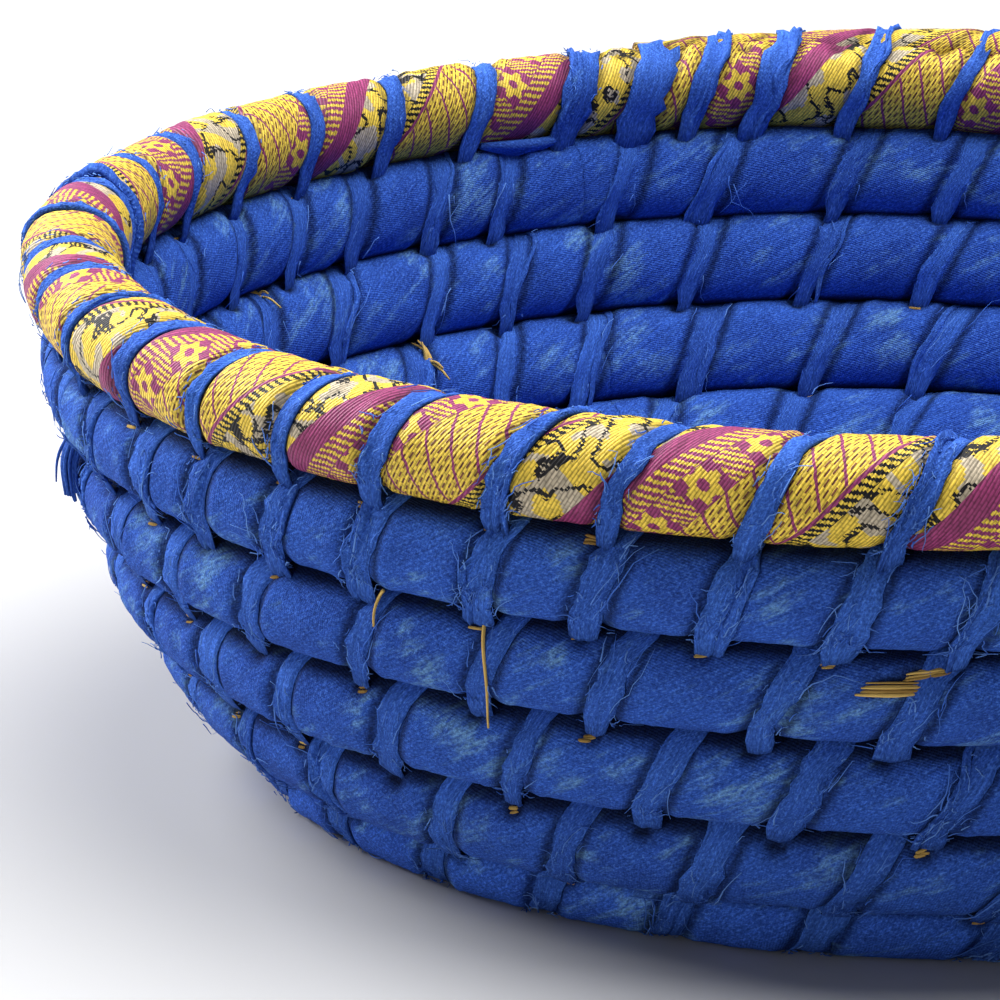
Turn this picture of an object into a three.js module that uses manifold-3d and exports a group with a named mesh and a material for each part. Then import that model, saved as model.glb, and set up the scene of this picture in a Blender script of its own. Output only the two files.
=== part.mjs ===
// A round coiled basket. One bundle of dried grass winds from the middle of the base, out across the
// base, up the wall and round the rim, where it ends in a tapered tail. Cloth strips wrap the bundle,
// a brocade ribbon wraps its last round, and wound cloth strips bind each round to the one below it.
// Millimetres, +Z up, origin at the middle of the flat underside.
import * as THREE from "three";
import Module from "manifold-3d";
import { mergeVertices } from "three/addons/utils/BufferGeometryUtils.js";

// Driving dimensions
const rimDiameter = 246; // over the outer corners of the rim's wrap
const coreDiameter = 9.5; // corner to corner of the six-sided bundle
const tipCoreDiameter = 1.2; // the bundle at the end of the tail
const wrapThickness = 1.8; // all the layers of cloth on the bundle
const tipWrapThickness = 0.9; // the one layer on the end of the tail
const seatClearance = 0.3; // between a piece and what it is wound on
const stitchWidth = 4;
const stitchThickness = 0.7; // on the open sides of a round
const pressedThickness = 0.4; // between two rounds, which press the strip flat
const flattening = 0.1; // share of the coil's diameter worn flat under the base
const wallRows = 5; // rounds from the foot up to the one under the rim
const stitchesPerRow = 22;
const rimLean = 9; // degrees from upright, from the top wall round to the rim
const footLean = 46; // degrees from upright, from the foot to the next round
const loopStart = 120; // degrees from +X, where each round has reached its own height
const climbTurn = 150; // degrees over which a round climbs to the next, up to loopStart
const tailGap = 11; // degrees from the tip of the tail to loopStart

// Facets
const sides = 6;
const innerBaseRounds = 4; // rounds of the base that the first cloth strip covers
const innerSteps = 12; // per round, on that first strip
const outerSteps = 20;
const shortestStep = 0.2; // share of a step that may be left at the end of a strip

// Sizes that follow
const radians = Math.PI / 180;
const flatShare = Math.cos(Math.PI / sides);
const boreRadius = coreDiameter / 2 + seatClearance;
const coilRadius = boreRadius + wrapThickness;
const coilFlat = coilRadius * flatShare;
const climbFrom = 1 - climbTurn / 360;
const wallLeans = Array.from(
  { length: wallRows },
  (_, i) => footLean * (rimLean / footLean) ** (i / (wallRows - 1)),
);
const rowLeans = wallLeans.map((lean, i) => (i ? (lean + wallLeans[i - 1]) / 2 : lean));
rowLeans.push(rimLean);
const sharpestTurn = Math.max(...rowLeans.slice(1).map((lean, i) => rowLeans[i] - lean));
const bendRoom = (coilRadius / 2) * Math.tan(sharpestTurn * radians);
const rowGap = pressedThickness + 2 * seatClearance + bendRoom;
const pitch = 2 * coilFlat + rowGap;
const rimRadius = rimDiameter / 2 - coilRadius;
const wallSpread = wallLeans.reduce((sum, lean) => sum + pitch * Math.sin(lean * radians), 0);
const footRadius = rimRadius - wallSpread;
const footRow = Math.floor((footRadius - coilFlat) / pitch);
const rimRow = footRow + wallRows;
const baseHeight = coilRadius * (1 - 2 * flattening);

// Value at a row number that may lie between two rounds, from the values at whole rows.
function betweenRows(valueAt, row) {
  const lower = Math.floor(row);
  return THREE.MathUtils.lerp(valueAt(lower), valueAt(lower + 1), row - lower);
}

// Lean of the step up to a row from the one below it, and lean of a row's own section.
const stepLean = (row) => (row <= footRow ? 90 : wallLeans[Math.min(row - footRow, wallRows) - 1]);
const sectionLean = (row) => (row < footRow ? 90 : rowLeans[Math.min(row - footRow, wallRows)]);

// Radius and height of the coil's middle at a row number, always one pitch from the row below.
function placeAt(row) {
  if (row <= footRow) {
    return new THREE.Vector2(footRadius - (footRow - row) * pitch, baseHeight);
  }
  const lean = betweenRows(stepLean, row) * radians;
  const step = new THREE.Vector2(Math.sin(lean), Math.cos(lean));
  return placeAt(row - 1).addScaledVector(step, pitch);
}

// Row number, outer radius and wrap of the coil after a number of turns. A round stays level, then
// climbs to the next. The tail thins as it lies on the round that climbs under it.
function coilState(turns) {
  const round = THREE.MathUtils.clamp(Math.floor(turns), 0, rimRow);
  const share = turns - round;
  const climb = THREE.MathUtils.smoothstep(share, climbFrom, 1);
  if (round < rimRow || share <= climbFrom) {
    return { row: round + climb, radius: coilRadius, wrap: wrapThickness };
  }
  const taper = THREE.MathUtils.mapLinear(share, climbFrom, 1 - tailGap / 360, 0, 1);
  const wrap = THREE.MathUtils.lerp(wrapThickness, tipWrapThickness, taper);
  const core = THREE.MathUtils.lerp(coreDiameter, tipCoreDiameter, taper) / 2;
  const radius = core + seatClearance + wrap;
  const rise = coilFlat + radius * flatShare + rowGap;
  return { row: round - 1 + climb + rise / pitch, radius, wrap };
}

// Middle of the coil after a number of turns.
function coilPoint(turns) {
  const place = placeAt(coilState(turns).row);
  const angle = loopStart * radians + 2 * Math.PI * turns;
  return new THREE.Vector3(place.x * Math.cos(angle), place.x * Math.sin(angle), place.y);
}

// Frame of the coil: along its length, up the wall and out of the wall.
function coilFrame(turns) {
  const near = 1e-4;
  const angle = loopStart * radians + 2 * Math.PI * turns;
  const state = coilState(turns);
  const lean = betweenRows(sectionLean, state.row) * radians;
  const along = coilPoint(turns + near).sub(coilPoint(turns - near)).normalize();
  const outward = new THREE.Vector3(Math.cos(angle), Math.sin(angle), 0);
  const up = outward.multiplyScalar(Math.sin(lean));
  up.z = Math.cos(lean);
  up.addScaledVector(along, -up.dot(along)).normalize();
  const out = new THREE.Vector3().crossVectors(along, up);
  return { turns, centre: coilPoint(turns), along, up, out, ...state };
}

const firstTurn = 0;
const lastTurn = rimRow + 1 - tailGap / 360;

// Frames at the coil's steps from one number of turns to another. A step that would lie very near
// either end is left out.
function framesBetween(from, to) {
  const places = [];
  for (let round = 0; round <= rimRow; round++) {
    const steps = round < innerBaseRounds ? innerSteps : outerSteps;
    const least = shortestStep / steps;
    for (let step = 0; step < steps; step++) {
      const turns = round + step / steps;
      if (turns > from + least && turns < to - least) {
        places.push(turns);
      }
    }
  }
  return [from, ...places, to].map(coilFrame);
}

const coilFrames = framesBetween(firstTurn, lastTurn);

// Frame on the straight stretch between two of the coil's steps.
function chordFrame(turns) {
  const after = Math.max(1, coilFrames.findIndex((frame) => frame.turns >= turns));
  const a = coilFrames[after - 1];
  const b = coilFrames[after];
  const share = (turns - a.turns) / (b.turns - a.turns);
  return {
    centre: a.centre.clone().lerp(b.centre, share),
    along: a.along.clone().lerp(b.along, share),
    up: a.up.clone().lerp(b.up, share),
    out: a.out.clone().lerp(b.out, share),
    radius: THREE.MathUtils.lerp(a.radius, b.radius, share),
  };
}

// Point round the coil at an angle from the outward side, a distance from its middle.
function around(frame, angle, distance) {
  return frame.centre
    .clone()
    .addScaledVector(frame.out, distance * Math.cos(angle))
    .addScaledVector(frame.up, distance * Math.sin(angle));
}

function hexagon(frame, distance) {
  return Array.from({ length: sides }, (_, i) => around(frame, (2 * Math.PI * i) / sides, distance));
}

// Triangles between two closed rings of equally many points, facing away from the coil's middle or,
// with the same diagonals, towards it.
function joinRings(triangles, a, b, inward = false) {
  a.forEach((point, i) => {
    const next = (i + 1) % a.length;
    const faces = [[point, b[i], a[next]], [a[next], b[i], b[next]]];
    faces.forEach((face) => triangles.push(...(inward ? face.reverse() : face)));
  });
}

function geometryOf(triangles) {
  return new THREE.BufferGeometry().setFromPoints(triangles);
}

// Solid through a row of rings, closed by a flat face at each end.
function sweep(rings) {
  const triangles = [];
  const first = rings[0];
  const last = rings.at(-1);
  rings.slice(1).forEach((ring, i) => joinRings(triangles, rings[i], ring));
  for (let i = 1; i < first.length - 1; i++) {
    triangles.push(first[0], first[i], first[i + 1], last[0], last[i + 1], last[i]);
  }
  return geometryOf(triangles);
}

// Sleeve between outer and inner rings, open at both ends.
function sleeve(outer, inner) {
  const triangles = [];
  outer.slice(1).forEach((ring, i) => {
    joinRings(triangles, outer[i], ring);
    joinRings(triangles, inner[i], inner[i + 1], true);
  });
  joinRings(triangles, inner[0], outer[0]);
  joinRings(triangles, outer.at(-1), inner.at(-1));
  return geometryOf(triangles);
}

const wasm = await Module();
wasm.setup();

function solidOf(geometry) {
  const bare = geometry.index ? geometry.toNonIndexed() : geometry;
  bare.deleteAttribute("normal");
  bare.deleteAttribute("uv");
  const merged = mergeVertices(bare, 1e-3);
  const mesh = { numProp: 3, vertProperties: merged.attributes.position.array };
  mesh.triVerts = new Uint32Array(merged.index.array);
  return new wasm.Manifold(new wasm.Mesh(mesh));
}

// Cuts away all that lies below the surface that the basket stands on.
function cutFlat(geometry) {
  const depth = 2 * coilRadius;
  const below = new THREE.BoxGeometry(2 * rimDiameter, 2 * rimDiameter, depth);
  below.translate(0, 0, -depth / 2);
  const cut = solidOf(geometry).subtract(solidOf(below)).getMesh();
  const result = new THREE.BufferGeometry();
  result.setAttribute("position", new THREE.BufferAttribute(cut.vertProperties, 3));
  result.setIndex(new THREE.BufferAttribute(cut.triVerts, 1));
  return result;
}

// Least distance between the points of rings that lie at least a number of rings apart.
function leastGap(rings, apart) {
  let least = Infinity;
  for (let i = 0; i < rings.length; i++) {
    for (let j = i + apart; j < rings.length; j++) {
      for (const p of rings[i]) {
        for (const q of rings[j]) {
          least = Math.min(least, p.distanceTo(q));
        }
      }
    }
  }
  return least;
}

const strawMaterial = new THREE.MeshStandardMaterial({ color: 0xb98f4e, roughness: 0.85, metalness: 0 });
const clothMaterial = new THREE.MeshStandardMaterial({ color: 0x2b4aa0, roughness: 0.95, metalness: 0 });
const stitchMaterial = new THREE.MeshStandardMaterial({ color: 0x24409a, roughness: 0.95, metalness: 0 });
const ribbonMaterial = new THREE.MeshStandardMaterial({ color: 0xc8a545, roughness: 0.6, metalness: 0 });

const basket = new THREE.Group();

function addPiece(name, geometry, material) {
  geometry.computeVertexNormals();
  const mesh = new THREE.Mesh(geometry, material);
  mesh.name = name;
  basket.add(mesh);
}

// Turns that a distance along the coil takes at a number of turns.
function turnsFor(distance, turns) {
  const { centre } = coilFrame(turns);
  return distance / (2 * Math.PI * Math.hypot(centre.x, centre.y));
}

// Grass bundle, one unbroken tube.
function grassCore() {
  const rings = coilFrames.map((frame) => {
    return hexagon(frame, frame.radius - frame.wrap - seatClearance);
  });
  console.log(`grass_core: least gap to itself ${leastGap(rings, innerSteps / 2).toFixed(2)} mm`);
  return sweep(rings);
}

// Cloth wound on the bundle from one number of turns to another.
function clothWrap(name, from, to) {
  const endGap = seatClearance / 2;
  const start = from === firstTurn ? from : from + turnsFor(endGap, from);
  const end = to === lastTurn ? to : to - turnsFor(endGap, to);
  const frames = framesBetween(start, end);
  const outer = frames.map((frame) => hexagon(frame, frame.radius));
  const inner = frames.map((frame) => hexagon(frame, frame.radius - frame.wrap));
  if (to - from > 1) {
    console.log(`${name}: least gap to itself ${leastGap(outer, innerSteps / 2).toFixed(2)} mm`);
  }
  const wrap = sleeve(outer, inner);
  return start < footRow + 1 ? cutFlat(wrap) : wrap;
}

// Strip that winds up the outside of a round and down its inside, pressed thin where it passes
// between two rounds. It bends at the corners of the round and at the coil's own steps.
function stitchStrip(name, row, to) {
  const side = (2 * Math.PI) / sides;
  const steps = sides * stitchesPerRow;
  const places = Array.from({ length: steps - 1 }, (_, i) => row + (i + 1) / steps);
  places.push(...coilFrames.map((frame) => frame.turns));
  const inside = places.filter((turns) => turns > row && turns < to).sort((a, b) => a - b);
  const rings = inside.map((turns) => {
    const frame = chordFrame(turns);
    const angle = (turns - row) * stitchesPerRow * 2 * Math.PI;
    const offFlat = THREE.MathUtils.euclideanModulo(angle, side) - side / 2;
    const seat = (frame.radius * flatShare + seatClearance) / Math.cos(offFlat);
    const openness = Math.abs(Math.cos(angle));
    const thickness = THREE.MathUtils.lerp(pressedThickness, stitchThickness, openness);
    const half = frame.along.clone().multiplyScalar(stitchWidth / 2);
    const middle = around(frame, angle, seat);
    return [middle.clone().add(half), around(frame, angle, seat + thickness), middle.sub(half)];
  });
  console.log(`${name}: least gap to itself ${leastGap(rings, sides).toFixed(2)} mm`);
  return sweep(rings);
}

addPiece("grass_core", grassCore(), strawMaterial);
const baseStrips = [firstTurn, innerBaseRounds, footRow];
for (let i = 1; i < baseStrips.length; i++) {
  const name = `base_wrap_${i}`;
  addPiece(name, clothWrap(name, baseStrips[i - 1], baseStrips[i]), clothMaterial);
}
for (let row = footRow; row < rimRow; row++) {
  const name = `wall_wrap_${row - footRow + 1}`;
  addPiece(name, clothWrap(name, row, row + 1), clothMaterial);
}
addPiece("rim_ribbon", clothWrap("rim_ribbon", rimRow, lastTurn), ribbonMaterial);
for (let row = footRow + 1; row < rimRow; row++) {
  const name = `wall_stitches_${row - footRow + 1}`;
  addPiece(name, stitchStrip(name, row, row + 1), stitchMaterial);
}
addPiece("rim_stitches", stitchStrip("rim_stitches", rimRow, lastTurn), stitchMaterial);

export default basket;
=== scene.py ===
"""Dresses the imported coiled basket: cloth wraps, brocade rim, sewn strips, threads and dried grass."""
import math

import bpy
import numpy as np
from bpy.props import FloatProperty, FloatVectorProperty, IntProperty, IntVectorProperty, PointerProperty
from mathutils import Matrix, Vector


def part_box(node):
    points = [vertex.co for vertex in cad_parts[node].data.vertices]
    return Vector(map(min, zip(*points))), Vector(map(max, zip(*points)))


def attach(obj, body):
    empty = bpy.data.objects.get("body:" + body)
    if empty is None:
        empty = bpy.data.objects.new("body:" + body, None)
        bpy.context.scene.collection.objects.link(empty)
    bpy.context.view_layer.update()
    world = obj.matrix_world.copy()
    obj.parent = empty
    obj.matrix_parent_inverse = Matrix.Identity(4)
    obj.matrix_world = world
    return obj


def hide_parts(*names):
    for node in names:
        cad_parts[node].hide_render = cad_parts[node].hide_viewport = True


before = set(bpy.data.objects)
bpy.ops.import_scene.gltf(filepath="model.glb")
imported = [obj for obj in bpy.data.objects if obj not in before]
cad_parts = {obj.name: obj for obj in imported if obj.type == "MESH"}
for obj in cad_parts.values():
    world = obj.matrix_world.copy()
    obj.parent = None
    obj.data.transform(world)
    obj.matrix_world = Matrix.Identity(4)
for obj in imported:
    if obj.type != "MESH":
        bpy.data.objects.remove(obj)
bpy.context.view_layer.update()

bl_info = {
    "name": "Coiled fabric basket",
    "version": (1, 0, 0),
    "blender": (4, 5, 0),
    "location": "View3D > Sidebar > Basket",
    "description": "Dresses a coiled basket in cloth, ribbon, sewn strips and dried grass",
    "category": "Object",
}

MM = 0.001
TURN = 2 * math.pi
TINY = 1e-9

# The coil's path, the same as the frame's
COIL_CORNER = 6.85 * MM  # middle to corner of the six-sided coil
PITCH = 13.644 * MM  # between the middles of neighbouring rounds
BASE_HEIGHT = 5.48 * MM
FOOT_ROW = 6
WALL_ROWS = 5
RIM_ROW = FOOT_ROW + WALL_ROWS
BASE_LEAN = 90.0  # degrees from upright: the base lies flat
FOOT_LEAN = 46.0  # from the foot to the next round
RIM_LEAN = 9.0
LOOP_START = 120 / 360  # turns from +X, where each round has reached its own height
CLIMB_FROM = 1 - 150 / 360  # share of a round after which it climbs to the next
TAIL_END = 1 - 6.5 / 360  # share of the last round at the tip of the tail
TAIL_TAPER = 2.5  # power of the tail's thinning
TIP_GIRTH = 0.28  # of the tail's tip, as a share of the full coil's
TIP_RISE = 4.5 * MM  # of the tip's middle over the middle of the coil it is bound to
FIRST_TURN = -0.3  # where the thinned start of the coil is tucked into the middle of the base
START_TAPER = 1.4  # power of that start's thinning
START_GIRTH = 0.25  # of that start, as a share of the full coil's
START_ROWS = 0.4  # how far in it is tucked, in pitches
LAST_TURN = RIM_ROW + TAIL_END
RIM_FROM = RIM_ROW - 1 + CLIMB_FROM  # turns where the coil starts to climb into the rim
RIBBON_FROM = RIM_ROW - 100 / 360  # turns where the ribbon takes over from the blue cloth
BASE_SPLIT = 4.0  # turns where one cloth of the base takes over from the other

rim_low, rim_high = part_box("rim_ribbon")
RIM_RADIUS = (rim_high.y - rim_low.y) / 2 - COIL_CORNER
WALL_LEANS = FOOT_LEAN * (RIM_LEAN / FOOT_LEAN) ** (np.arange(WALL_ROWS) / (WALL_ROWS - 1))
FOOT_RADIUS = RIM_RADIUS - PITCH * np.sin(np.radians(WALL_LEANS)).sum()
ROWS = np.arange(RIM_ROW + 3)
STEP_LEANS = [BASE_LEAN] * (FOOT_ROW + 1) + list(WALL_LEANS) + [RIM_LEAN] * 2
MIDDLE_LEANS = (WALL_LEANS[1:] + WALL_LEANS[:-1]) / 2
SECTION_LEANS = [BASE_LEAN] * FOOT_ROW + [FOOT_LEAN] + list(MIDDLE_LEANS) + [RIM_LEAN] * 3

# The cloth on the coil
HALF_OUT = 6.35 * MM  # half the coil's thickness through the wall
HALF_RIM = 6.6 * MM  # half the rim's thickness through the wall
RIM_TOP = 5.95 * MM  # top of the rim over its middle
ROUND_POWER = 2.05  # of the section's outline: 2 is an ellipse, more is boxier
PRESSED_POWER = 0.3  # more than that where rounds are pressed together
# Hand-made unevenness: half thickness between rounds, lift over the frame's row and low edge, for each row
HALF_UPS = np.array([6.95] * FOOT_ROW + [7.35, 7.35, 7.1, 6.9, 6.85, 6.95, 6.95, 6.95]) * MM
ROW_LIFTS = np.array([0.0] * FOOT_ROW + [0.0, 1.0, 1.4, 1.2, 0.5, 0.0, 0.0, 0.0]) * MM
LOW_POWERS = [2.4] * FOOT_ROW + [3.6, 2.7, 2.2, 2.1, 2.1] + [ROUND_POWER] * 3
RIM_BULGE = 1.4 * MM  # how far the rim is pulled out of round
RIM_BULGE_ANGLE = math.radians(172)
RIM_BULGE_FALL = 3  # how fast it falls off round the rim
RIM_BULGE_LIFT = 0.4  # share of it by which the rim is also lifted
ROUND_IT = 41 * MM  # the way round the coil
BORE_SHARE = 0.74  # inside of the cloth, as a share of its outside
BORE_COARSER = 4  # times longer faces inside the cloth than outside
BORE_SIDES = 12
SEAM = math.radians(-103)  # angle round the coil of each wrap's seam, down between two rounds
CLOTH_MAP = "cloth"
WRAP_ADVANCE = 37 * MM  # along the coil for each turn of a cloth strip
STRIP_SLANT = math.radians(30)  # of the folds in the wound cloth, from the coil's own direction
RIBBON_TURNS = 18  # turns of the ribbon in one round of the rim
RIBBON_ADVANCE = TURN * RIM_RADIUS / RIBBON_TURNS
RIBBON_LEAN = math.atan2(RIBBON_ADVANCE, ROUND_IT)
RIBBON_WIDTH = RIBBON_ADVANCE * math.cos(RIBBON_LEAN)

# Heights of the cloth's relief, in millimetres
BROAD_LUMP = 0.24
SMALL_LUMP = 0.11
STRIP_EDGE = 0.3  # where one turn of the wound strip laps over the last
SLANTED_FOLD = 0.14
FOLDS_PER_TURN = 2.6  # in each turn of the wound strip
STITCH_HOLLOW = 0.34  # wide hollow round a stitch's groove
PUCKER = 0.22  # ridge on each side of a stitch
STITCH_FOLD = 0.13  # fine folds that run out from a stitch
FULLNESS = 0.14  # on the open sides
HOLE_DEPTH = 0.75
TEAR_DEPTH = 0.7
PRESSED_LEAST = -0.03  # rounds stay pressed together where they meet

# Painted shade in the hollows of the cloth, in degrees round the coil from level, and painted light on the
# foot
OUTER_TOP = 36  # where the painted shade below the next round starts, outside an upright wall
OUTER_TOP_LEAN = 0.35  # further up for each degree that the wall leans
OUTER_TOP_OVER = 25  # how much further up it is dark
OUTER_OVER_LEAN = 0.2  # sooner for each degree that the wall leans
INNER_TOP = 64
INNER_TOP_OVER = 16
OUTER_LOW = -66  # where the painted shade above the round below starts
INNER_LOW = -52
LOW_OVER = 14
FOOT_SPARE = 8  # of the foot's turn from the base that doesn't move its painted shade
STITCH_SIDE_SHADE = 0.85  # painted shade beside a stitch
FOOT_PAINTED_LIGHT = 0.42  # painted light: how much paler the foot is painted, where light thrown up from the floor would fall

# Seeds of the random draws
PLAN_SEED, STALK_SEED, STRIP_SEED, THREAD_SEED, STRAW_SEED, LOOSE_SEED = 11, 3, 5, 9, 13, 17


def smooth_step(x):
    x = np.clip(x, 0, 1)
    return x * x * (3 - 2 * x)


def unit(v):
    return v / np.linalg.norm(v, axis=-1, keepdims=True)


def dot(a, b):
    return (a * b).sum(-1, keepdims=True)


# Shape of the coil


def place_at(row):
    """Radius and height of the coil's middle at row numbers, always one pitch from the row below."""
    start = row - np.ceil(np.maximum(row - FOOT_ROW, 0))
    radius = FOOT_RADIUS - (FOOT_ROW - start) * PITCH
    height = np.full_like(radius, BASE_HEIGHT)
    for step in range(1, WALL_ROWS + 3):
        here = start + step
        reached = here <= row + TINY
        lean = np.radians(np.interp(here, ROWS, STEP_LEANS))
        radius = radius + reached * PITCH * np.sin(lean)
        height = height + reached * PITCH * np.cos(lean)
    return radius, height + np.interp(row, ROWS, ROW_LIFTS)


def coil_state(turns):
    """Row number and girth, as a share of the full coil's, after a number of turns."""
    number = np.clip(np.floor(turns), 0, RIM_ROW)
    share = turns - number
    climb = smooth_step((share - CLIMB_FROM) / (1 - CLIMB_FROM))
    taper = np.clip((share - CLIMB_FROM) / (TAIL_END - CLIMB_FROM), 0, 1)
    rise = 1 + (TIP_RISE / PITCH - 1) * smooth_step(taper)
    on_tail = (number == RIM_ROW) & (share > CLIMB_FROM)
    row = np.where(on_tail, number - 1 + climb + rise, number + climb)
    girth = np.where(on_tail, 1 - (1 - TIP_GIRTH) * taper**TAIL_TAPER, 1.0)
    tucked = np.clip(turns / FIRST_TURN, 0, 1)
    return row - START_ROWS * tucked, girth * (1 - (1 - START_GIRTH) * tucked**START_TAPER)


def rim_share(row):
    """0 on the wall, 1 on the rim."""
    return smooth_step((row - RIM_ROW + 0.6) / 0.5)


def coil_angle(turns):
    """Angle from +X, in radians."""
    return TURN * (LOOP_START + turns)


def coil_middle(turns):
    """Middle of the coil after a number of turns."""
    row = coil_state(turns)[0]
    radius, height = place_at(row)
    angle = coil_angle(turns)
    bulge = np.exp(RIM_BULGE_FALL * (np.cos(angle - RIM_BULGE_ANGLE) - 1))
    bulge = RIM_BULGE * bulge * smooth_step((row - FOOT_ROW) / WALL_ROWS)
    radius = radius + bulge
    height = height + bulge * RIM_BULGE_LIFT
    return np.stack([radius * np.cos(angle), radius * np.sin(angle), height], -1)


def coil_frame(turns):
    """Middle of the coil, and its directions along, up the wall and out of it."""
    near = 1e-4
    along = unit(coil_middle(turns + near) - coil_middle(turns - near))
    angle = coil_angle(turns)
    lean = np.radians(np.interp(coil_state(turns)[0], ROWS, SECTION_LEANS))
    up = np.stack([np.cos(angle) * np.sin(lean), np.sin(angle) * np.sin(lean), np.cos(lean)], -1)
    up = unit(up - along * dot(up, along))
    return coil_middle(turns), along, up, np.cross(along, up)


def coil_ray(turns, phi):
    """Middle of the coil, and the direction from it at an angle round it, which is 0 out of the wall."""
    middle, _, up, out = coil_frame(turns)
    return middle, out * np.cos(phi)[..., None] + up * np.sin(phi)[..., None]


def coil_radius(turns, phi):
    """Plain radius of the coil at an angle round it. Wall rounds are pressed flatter than the rim."""
    row, girth = coil_state(turns)
    pressed = np.interp(row, [RIM_ROW - 0.9, RIM_ROW], [1.0, 0.0])
    across, upward = np.cos(phi), np.sin(phi)
    half_out = HALF_RIM + (HALF_OUT - HALF_RIM) * pressed
    half_up = np.interp(row, ROWS, HALF_UPS)
    half_up = np.where(upward < 0, half_up, RIM_TOP + (half_up - RIM_TOP) * pressed)
    low_edge = smooth_step(across * 1.5) * smooth_step(-upward * 1.5)
    plain = ROUND_POWER + PRESSED_POWER * pressed
    power = plain + low_edge * (np.interp(row, ROWS, LOW_POWERS) - plain)
    return girth * (np.abs(across / half_out) ** power + np.abs(upward / half_up) ** power) ** (-1 / power)


TABLE_STEPS = 8000
table_turns = np.linspace(FIRST_TURN, LAST_TURN, TABLE_STEPS)
table_runs = np.linalg.norm(np.diff(coil_middle(table_turns), axis=0), axis=1).cumsum()
table_runs = np.concatenate([[0.0], table_runs])
table_runs = table_runs - np.interp(0.0, table_turns, table_runs)


def run_at(turns):
    """Length of coil, in metres, up to a number of turns, less than 0 in the tucked start."""
    return np.interp(turns, table_turns, table_runs)


def turns_per_metre(turns):
    """Turns for each metre along the coil."""
    radius, _ = place_at(coil_state(turns)[0])
    return 1 / (TURN * radius)


def on_floor(points):
    """Presses points that would sink into the floor flat against it."""
    soft = 0.5 * MM
    z = points[..., 2]
    points[..., 2] = (z + np.sqrt(z * z + soft * soft)) / 2
    return points


HASH_PRIMES = (374761393, 668265263, 97463477, 1274126177)
HASH_MASK = 0xFFFFFFFF


def lattice(i, j, seed):
    """Repeatable numbers from -1 to 1 at whole-number places."""
    for_i, for_j, for_seed, last = HASH_PRIMES
    mixed = (i.astype(np.int64) * for_i + j.astype(np.int64) * for_j + seed * for_seed) & HASH_MASK
    mixed = ((mixed ^ (mixed >> 13)) * last) & HASH_MASK
    return ((mixed >> 8) & 0xFFFF) / 32767.5 - 1


def lumps(x, y, seed, wrap=1 << 20):
    """Smooth random heights from -1 to 1, about one lump to each unit, repeating in y after wrap units."""
    i, j = np.floor(x), np.floor(y)
    fx, fy = smooth_step(x - i), smooth_step(y - j)
    j0, j1 = j % wrap, (j + 1) % wrap
    low = lattice(i, j0, seed) * (1 - fx) + lattice(i + 1, j0, seed) * fx
    high = lattice(i, j1, seed) * (1 - fx) + lattice(i + 1, j1, seed) * fx
    return low * (1 - fy) + high * fy


# Where the stitches are

STITCH_LOW = math.radians(-78)  # angles round the coil where a stitch goes into the round below
STITCH_HIGH = math.radians(258)
STITCH_LEAVES = math.radians(42)  # below the level at which it leaves its own round
STITCH_STRAY = 0.09  # how far a stitch strays from its even place, as a share of the gap
STITCH_CROWDED = 0.55  # least distance from the stitch before, as a share of the gap
STITCH_WIDTHS = (0.82, 1.2)  # range, as shares of the usual width
TWIN_WIDTHS = (0.25, 0.45)  # range for a loose second strand, as shares of its stitch's width
TWIN_OFFSETS = (0.9 * MM, 1.9 * MM)
GROOVE_MARGIN = 0.35 * MM  # by which a groove is wider than its stitch, on each side
BASE_LEAST = 5  # stitches in a round of the base
BASE_ANGLE = 40.0  # degrees from one round's first stitch to the next's
HOLE_PHI = math.radians(57)  # angle round the round below where the stitch goes in
HOLE_RUN = 1.5 * MM  # half length and half height of that hole
HOLE_RISE = 1.2 * MM
TEAR_PHI = math.radians(41)
TEAR_SLANT = math.radians(17)
TEAR_RUN = 5.6 * MM  # half length and half height of the tear
TEAR_RISE = 1.25 * MM


class SewnStrip:
    """One stitch: where it crosses the outside of its round, how wide it is and how far the next one is."""

    def __init__(self, turns, gap, width, piece, twin=False):
        self.turns = turns
        self.gap = gap
        self.width = width
        self.piece = piece
        self.twin = twin  # a loose second strand, which presses no groove of its own


def round_stitches(rng, sizes, first, last, count, angle, piece):
    """Stitches at even angles over a stretch of coil, each a little out of place."""
    places = angle / 360 - LOOP_START + np.arange(-1, len(ROWS) * count) / count
    shift = rng.uniform(-STITCH_STRAY, STITCH_STRAY, len(places)) / count
    widths = sizes.stitch_width * rng.uniform(*STITCH_WIDTHS, len(places))
    places = places + shift
    kept = (places > first) & (places < last)
    return [SewnStrip(t, 1 / count, w, piece) for t, w in zip(places[kept], widths[kept])]


def even_stitches(rng, sizes):
    """The stitches of the base, the wall and the rim, in that order."""
    planned = []
    for row in range(1, FOOT_ROW):
        way_round = TURN * float(place_at(np.array(row + 0.3))[0])
        count = max(BASE_LEAST, round(way_round / sizes.base_stitch_gap))
        planned += round_stitches(rng, sizes, row, row + 1, count, BASE_ANGLE * row, "base_stitches")
    ends = [*range(FOOT_ROW, RIM_ROW), RIM_FROM, RIM_ROW + CLIMB_FROM]
    for i, (first, last) in enumerate(zip(ends, ends[1:])):
        on_rim = i == WALL_ROWS
        piece = "rim_stitches" if on_rim else f"wall_stitches_{i + 1}"
        count, angle = sizes.stitches_per_round[i], sizes.stitch_angles[i]
        made = round_stitches(rng, sizes, first, last, count, angle, piece)
        for s in made:
            s.width *= sizes.rim_stitch_share if on_rim else 1
        planned += made
    return planned


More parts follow.
